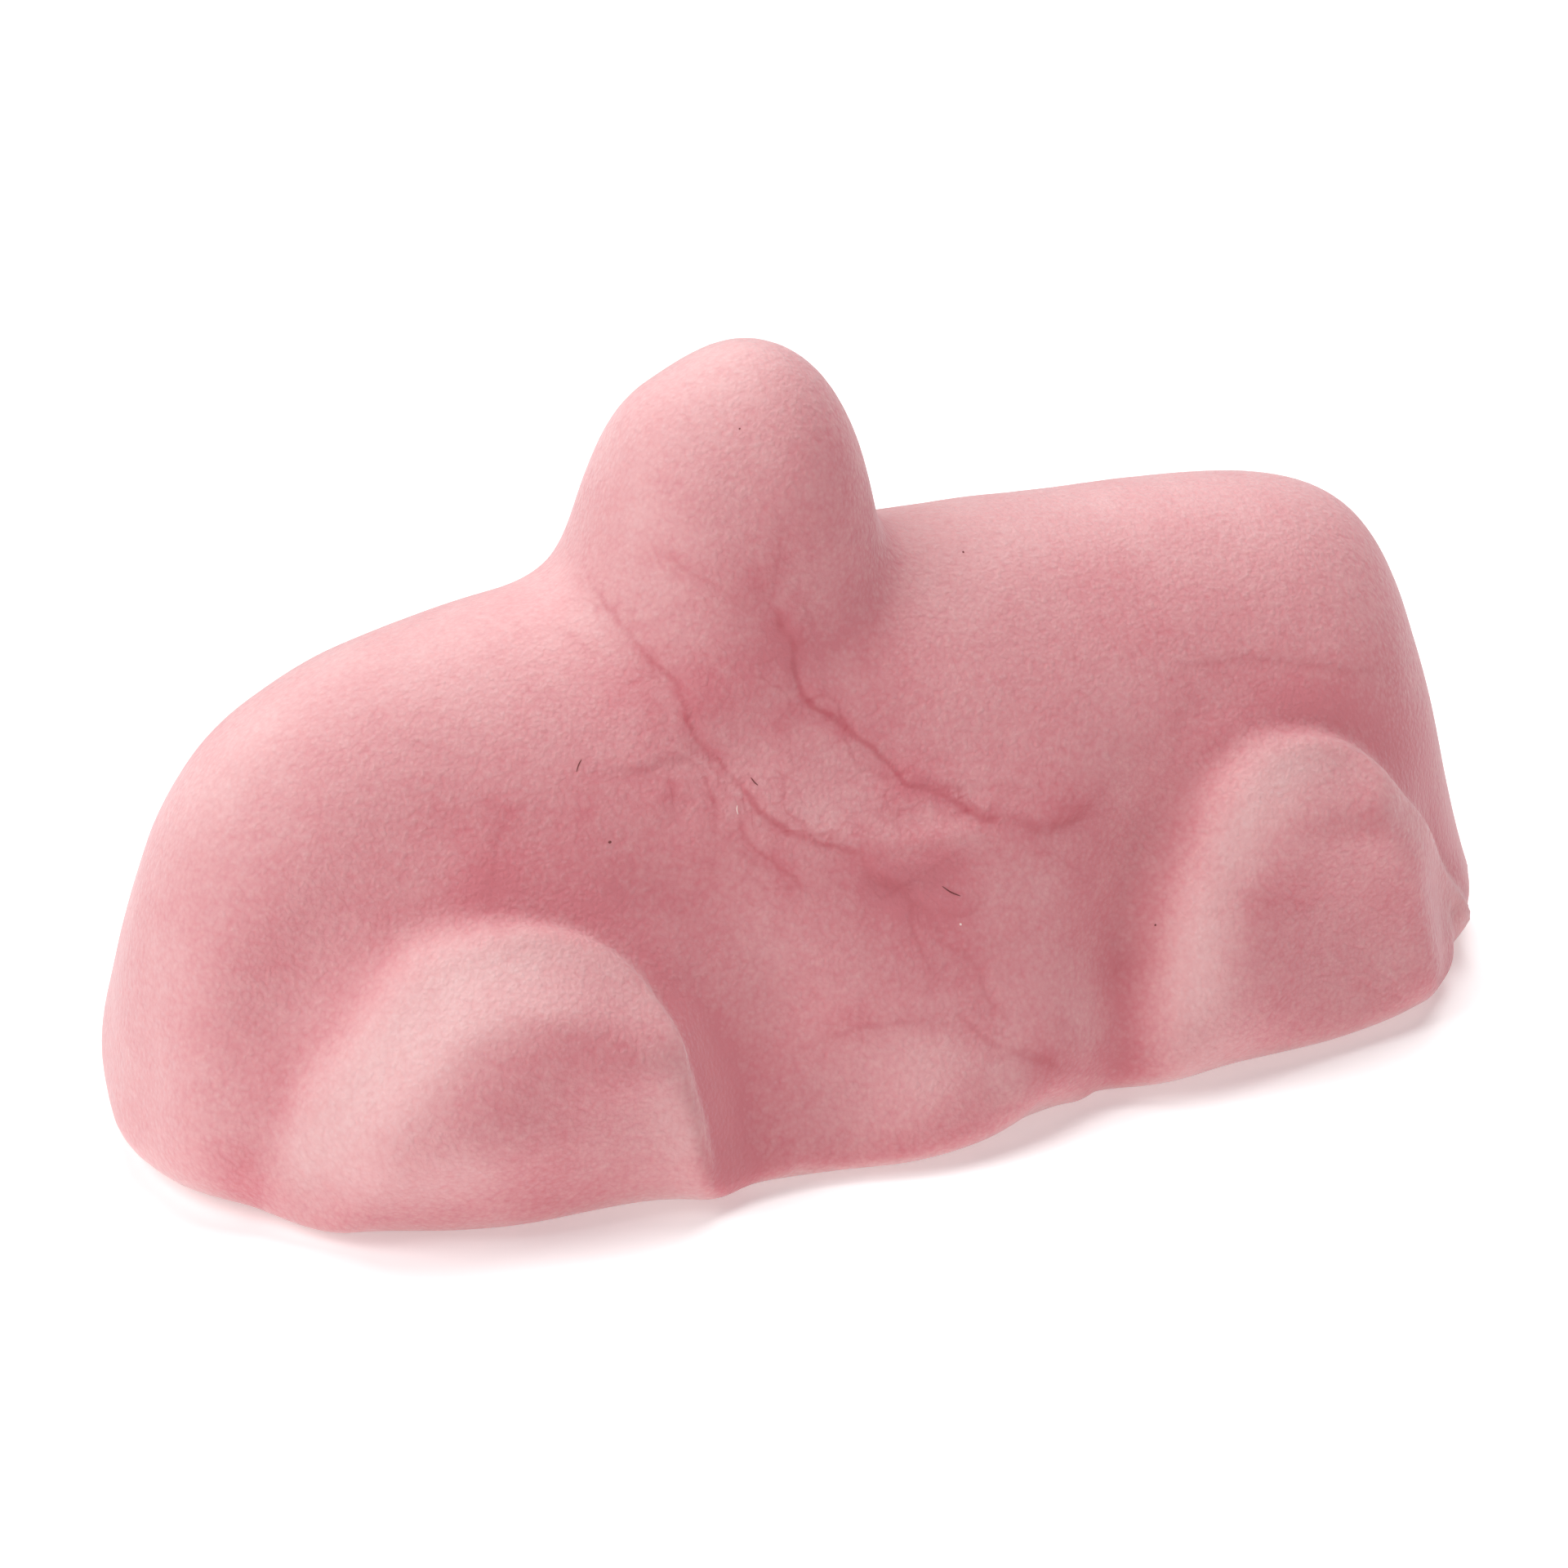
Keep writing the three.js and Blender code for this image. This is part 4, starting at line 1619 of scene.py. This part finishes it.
@dataclass(frozen=True)
class FoamFinish:
    """Matte pink skin: paler with starch and painted highlight, deeper in hollows as painted shade."""

    pale: Colour = (0.86, 0.53, 0.53)
    deep: Colour = (0.7, 0.215, 0.25)
    crease: Colour = (0.58, 0.12, 0.15)
    roughness: float = 0.7
    gloss: float = 0.3
    fuzz: float = 0.4
    fuzz_roughness: float = 0.5
    translucence: float = 0.25
    # The share of deep pink: painted light and shade as well as starch and tone.
    starch: StarchAndPaintedLight = StarchAndPaintedLight()
    tint: CreaseTint = CreaseTint()
    grain_scale: float = 6.5
    bubble_scale: float = 10.0
    bubble_share: float = 0.4
    grain_share: float = 0.5
    grain_relief: float = 0.36
    grain_depth: float = 0.00005

    def held(self, tree: Tree, name: str, output: str = "Fac") -> Term:
        """Adds what the net carries under a name."""
        return Term(tree, tree.add("ShaderNodeAttribute", attribute_name=name).outputs[output])

    def bubbles(self, tree: Tree, place: Term) -> Term:
        """Adds the grain of the foam: fine noise with small pale bubbles in it.

        Args:
            tree: where the nodes go.
            place: the place in millimetres.

        Returns:
            The grain, about 0 on average and higher on the bubbles.
        """
        fine = tree.noise(place, self.grain_scale, 3.0) - 0.5
        inputs = {"Vector": place, "Scale": self.bubble_scale}
        cells = tree.named("ShaderNodeTexVoronoi", inputs, "Distance")
        return fine + (0.4 - cells) * self.bubble_share

    def bareness(self, tree: Tree, place: Term, away: Term, strength: Term) -> Term:
        """Adds how much deep pink shows: starch, foam tone, and painted light and shade.

        Args:
            tree: where the nodes go.
            place: the place in millimetres.
            away: the distance to the nearest crease.
            strength: how plain that crease is.

        Returns:
            0 where the skin is palest and 1 where the deep pink shows fully.
        """
        # Painted shade: deeper pink the more shut in a place is.
        hollow = self.held(tree, HOLLOW_SHADE)
        # Painted light and shade by the normal: paler tops as a painted highlight, deeper pink on sides
        # facing the tall end, away from the key lamp, as painted shade.
        along, _, up = self.held(tree, FACING, "Vector").parts()
        s = self.starch
        along = tree.math("MINIMUM", along, s.most_along)
        _, _, height = place.parts()
        # Deeper pink low down and at the foot, painted for light shining through the foam's lower edge.
        low = tree.math("EXPONENT", height * -0.9)
        patch = tree.ease(0.3, 0.7, tree.noise(place, 0.9, 2.0))
        near = tree.math("EXPONENT", away * -1.3) * strength * (0.25 + patch)
        cloud = tree.noise(place, 0.55, 3.0) - 0.5
        smudge = tree.noise(place, 1.9, 3.0) - 0.5
        foot = tree.math("EXPONENT", height * -3.0)
        share = s.base + hollow * s.painted_shade_in_hollows + near * s.by_creases + along * s.towards_tall_end
        share = share + up * s.facing_up + up * up * s.lying_flat
        # The stored spots add painted light at the arches, and starch and painted light in round spots.
        share = share + low * s.painted_translucence_low_down + foot * s.painted_translucence_at_foot + self.held(tree, STARCH_AND_PAINTED_LIGHT_SPOTS)
        return share + cloud * s.clouds + smudge * s.smudges

    def creasing(self, tree: Tree, place: Term, away: Term, strength: Term) -> Term:
        """Adds how much of the creases' colour shows.

        Args:
            tree: where the nodes go.
            place: the place in millimetres.
            away: the distance to the nearest crease.
            strength: how plain that crease is.

        Returns:
            The share of the creases' colour, with fine branches close to each crease.
        """
        t = self.tint
        width = self.held(tree, CREASE_WIDTH)
        patch = tree.ease(0.3, 0.65, tree.noise(place, 1.1, 2.0))
        line = (1.0 - tree.ease(0.0, t.line_reach, away / width)) * strength * (0.5 + 0.5 * patch)
        halo = (1.0 - tree.ease(0.0, t.halo_reach, away)) * strength
        around = (1.0 - tree.ease(0.3, 2.0, away)) * strength
        stray = (tree.noise(place, 0.8, 3.0, "Color") - (0.5, 0.5, 0.5)) * 1.6
        inputs = {"Vector": place + stray, "Scale": t.branch_scale}
        cells = tree.named("ShaderNodeTexVoronoi", inputs, "Distance", feature="DISTANCE_TO_EDGE")
        branch = (1.0 - tree.ease(0.0, t.branch_width, cells)) * around * patch
        return tree.math("MINIMUM", line * t.line + halo * t.halo + branch * t.branches, 1.0)

    def material(self) -> bpy.types.Material:
        """Builds the material.

        Returns:
            The material.
        """
        material = bpy.data.materials.new("pink foam")
        material.use_nodes = True
        tree = Tree(material.node_tree)
        shader = material.node_tree.nodes["Principled BSDF"]
        place = Term(tree, tree.add("ShaderNodeTexCoord").outputs["Object"]) * (1.0 / MILLIMETRE)
        offset = self.held(tree, CREASE_OFFSET, "Vector")
        strength = self.held(tree, CREASE_STRENGTH)
        jitter = (tree.noise(place, 2.6, 3.0, "Color") - (0.5, 0.5, 0.5)) * 0.26
        length = tree.vector_math("LENGTH", offset + jitter)
        away = tree.math("MAXIMUM", length, self.held(tree, CREASE_GAP) - 0.13)
        grain = self.bubbles(tree, place)
        share = self.bareness(tree, place, away, strength) - grain * self.grain_share
        share = tree.math("MINIMUM", tree.math("MAXIMUM", share, 0.0), 1.0)
        colour = tree.add("ShaderNodeMix", data_type="RGBA")
        tree.feed(colour.inputs[0], share)
        colour.inputs[6].default_value = (*self.pale, 1.0)
        colour.inputs[7].default_value = (*self.deep, 1.0)
        veined = tree.add("ShaderNodeMix", data_type="RGBA")
        tree.feed(veined.inputs[0], self.creasing(tree, place, away, strength))
        tree.feed(veined.inputs[6], Term(tree, colour.outputs[2]))
        veined.inputs[7].default_value = (*self.crease, 1.0)
        tree.feed(shader.inputs["Base Color"], Term(tree, veined.outputs[2]))
        shader.inputs["Roughness"].default_value = self.roughness
        shader.inputs["Specular IOR Level"].default_value = self.gloss
        shader.inputs["Sheen Weight"].default_value = self.fuzz
        shader.inputs["Sheen Roughness"].default_value = self.fuzz_roughness
        shader.inputs["Subsurface Weight"].default_value = self.translucence
        shader.inputs["Subsurface Radius"].default_value = (1.0, 0.45, 0.4)
        shader.inputs["Subsurface Scale"].default_value = 0.6 * MILLIMETRE
        bump = tree.add("ShaderNodeBump")
        bump.inputs["Strength"].default_value = self.grain_relief
        bump.inputs["Distance"].default_value = self.grain_depth
        tree.feed(bump.inputs["Height"], grain * 2.0)
        tree.feed(shader.inputs["Normal"], Term(tree, bump.outputs["Normal"]))
        return material


@dataclass(frozen=True)
class Lamp:
    """A square soft light: its bearing and height in degrees, its side in metres, its watts."""

    name: str
    azimuth: float
    elevation: float
    size: float
    power: float


LAMPS = (
    Lamp("key", -90.0, 45.0, 0.3, 1.45),
    Lamp("back", 160.0, 45.0, 0.3, 0.66),
    Lamp("top", 135.0, 78.0, 0.3, 1.45),
    Lamp("front", -8.0, 35.0, 0.3, 0.14),
)


@dataclass
class Studio:
    """A pale floor, soft light and the camera. Lengths are in metres."""

    lamps: tuple[Lamp, ...] = LAMPS
    lamp_distance: float = 0.5
    sky: float = 0.1
    floor_half: float = 0.6
    floor_grey: float = 0.93
    floor_glow: float = 0.29
    aim: Point3 = (-0.000642, 0.000071, 0.005829)
    distance: float = 0.13
    azimuth: float = -24.95
    elevation: float = 25.0
    lens: float = 141.4

    def direction(self, azimuth: float, elevation: float) -> Vector:
        """Unit vector from the candy towards a place on the sky.

        Args:
            azimuth: the bearing in degrees, 0 in front.
            elevation: the height in degrees.

        Returns:
            The vector.
        """
        a = math.radians(azimuth)
        e = math.radians(elevation)
        return Vector((math.sin(a) * math.cos(e), -math.cos(a) * math.cos(e), math.sin(e)))

    def build_floor(self) -> None:
        """Lays the floor, a pale table that glows a little, so that shadows on it stay faint."""
        half = self.floor_half
        mesh = bpy.data.meshes.new("floor")
        corners = [(-half, -half, 0.0), (half, -half, 0.0), (half, half, 0.0), (-half, half, 0.0)]
        mesh.from_pydata(corners, [], [(0, 1, 2, 3)])
        floor = bpy.data.objects.new("floor", mesh)
        bpy.context.scene.collection.objects.link(floor)
        material = bpy.data.materials.new("pale floor")
        material.use_nodes = True
        shader = material.node_tree.nodes["Principled BSDF"]
        grey = self.floor_grey
        shader.inputs["Base Color"].default_value = (grey, grey, grey, 1.0)
        shader.inputs["Emission Color"].default_value = (1.0, 1.0, 1.0, 1.0)
        shader.inputs["Emission Strength"].default_value = self.floor_glow
        shader.inputs["Roughness"].default_value = 0.9
        shader.inputs["Specular IOR Level"].default_value = 0.1
        mesh.materials.append(material)

    def add_lamp(self, lamp: Lamp) -> None:
        """Adds a square soft light that faces the candy.

        Args:
            lamp: where it stands, its size and its power.
        """
        light = bpy.data.lights.new(lamp.name, "AREA")
        light.size = lamp.size
        light.energy = lamp.power
        stand = bpy.data.objects.new(lamp.name, light)
        towards = self.direction(lamp.azimuth, lamp.elevation)
        stand.location = towards * self.lamp_distance
        stand.rotation_euler = towards.to_track_quat("Z", "Y").to_euler()
        bpy.context.scene.collection.objects.link(stand)

    def build(self) -> None:
        """Sets up floor, light and camera."""
        scene = bpy.context.scene
        self.build_floor()
        world = bpy.data.worlds.new("soft light")
        world.use_nodes = True
        background = world.node_tree.nodes["Background"]
        background.inputs["Color"].default_value = (1.0, 1.0, 1.0, 1.0)
        background.inputs["Strength"].default_value = self.sky
        scene.world = world
        for lamp in self.lamps:
            self.add_lamp(lamp)
        camera = bpy.data.cameras.new("camera")
        camera.lens = self.lens
        camera.sensor_width = 36.0
        camera.clip_start = 0.005
        lens = bpy.data.objects.new("camera", camera)
        towards = self.direction(self.azimuth, self.elevation)
        lens.location = Vector(self.aim) + towards * self.distance
        lens.rotation_euler = towards.to_track_quat("Z", "Y").to_euler()
        scene.collection.objects.link(lens)
        scene.camera = lens
        scene.view_settings.view_transform = "Standard"


def main() -> None:
    """Builds the scene, piece by piece."""
    logging.basicConfig(level=logging.INFO, format="%(name)s: %(message)s")
    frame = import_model()
    LOG.info("frame loaded with nodes %s", sorted(frame["nodes"]))
    Studio().build()
    LOG.info("studio ready")
    piece = Candy().build(FoamFinish().material())
    LOG.info("%s has %d faces", piece.name, len(piece.data.polygons))
    lint = Lint().build(piece, LintFinish().material())
    LOG.info("%s has %d faces", lint.name, len(lint.data.polygons))


if __name__ == "__main__":
    main()
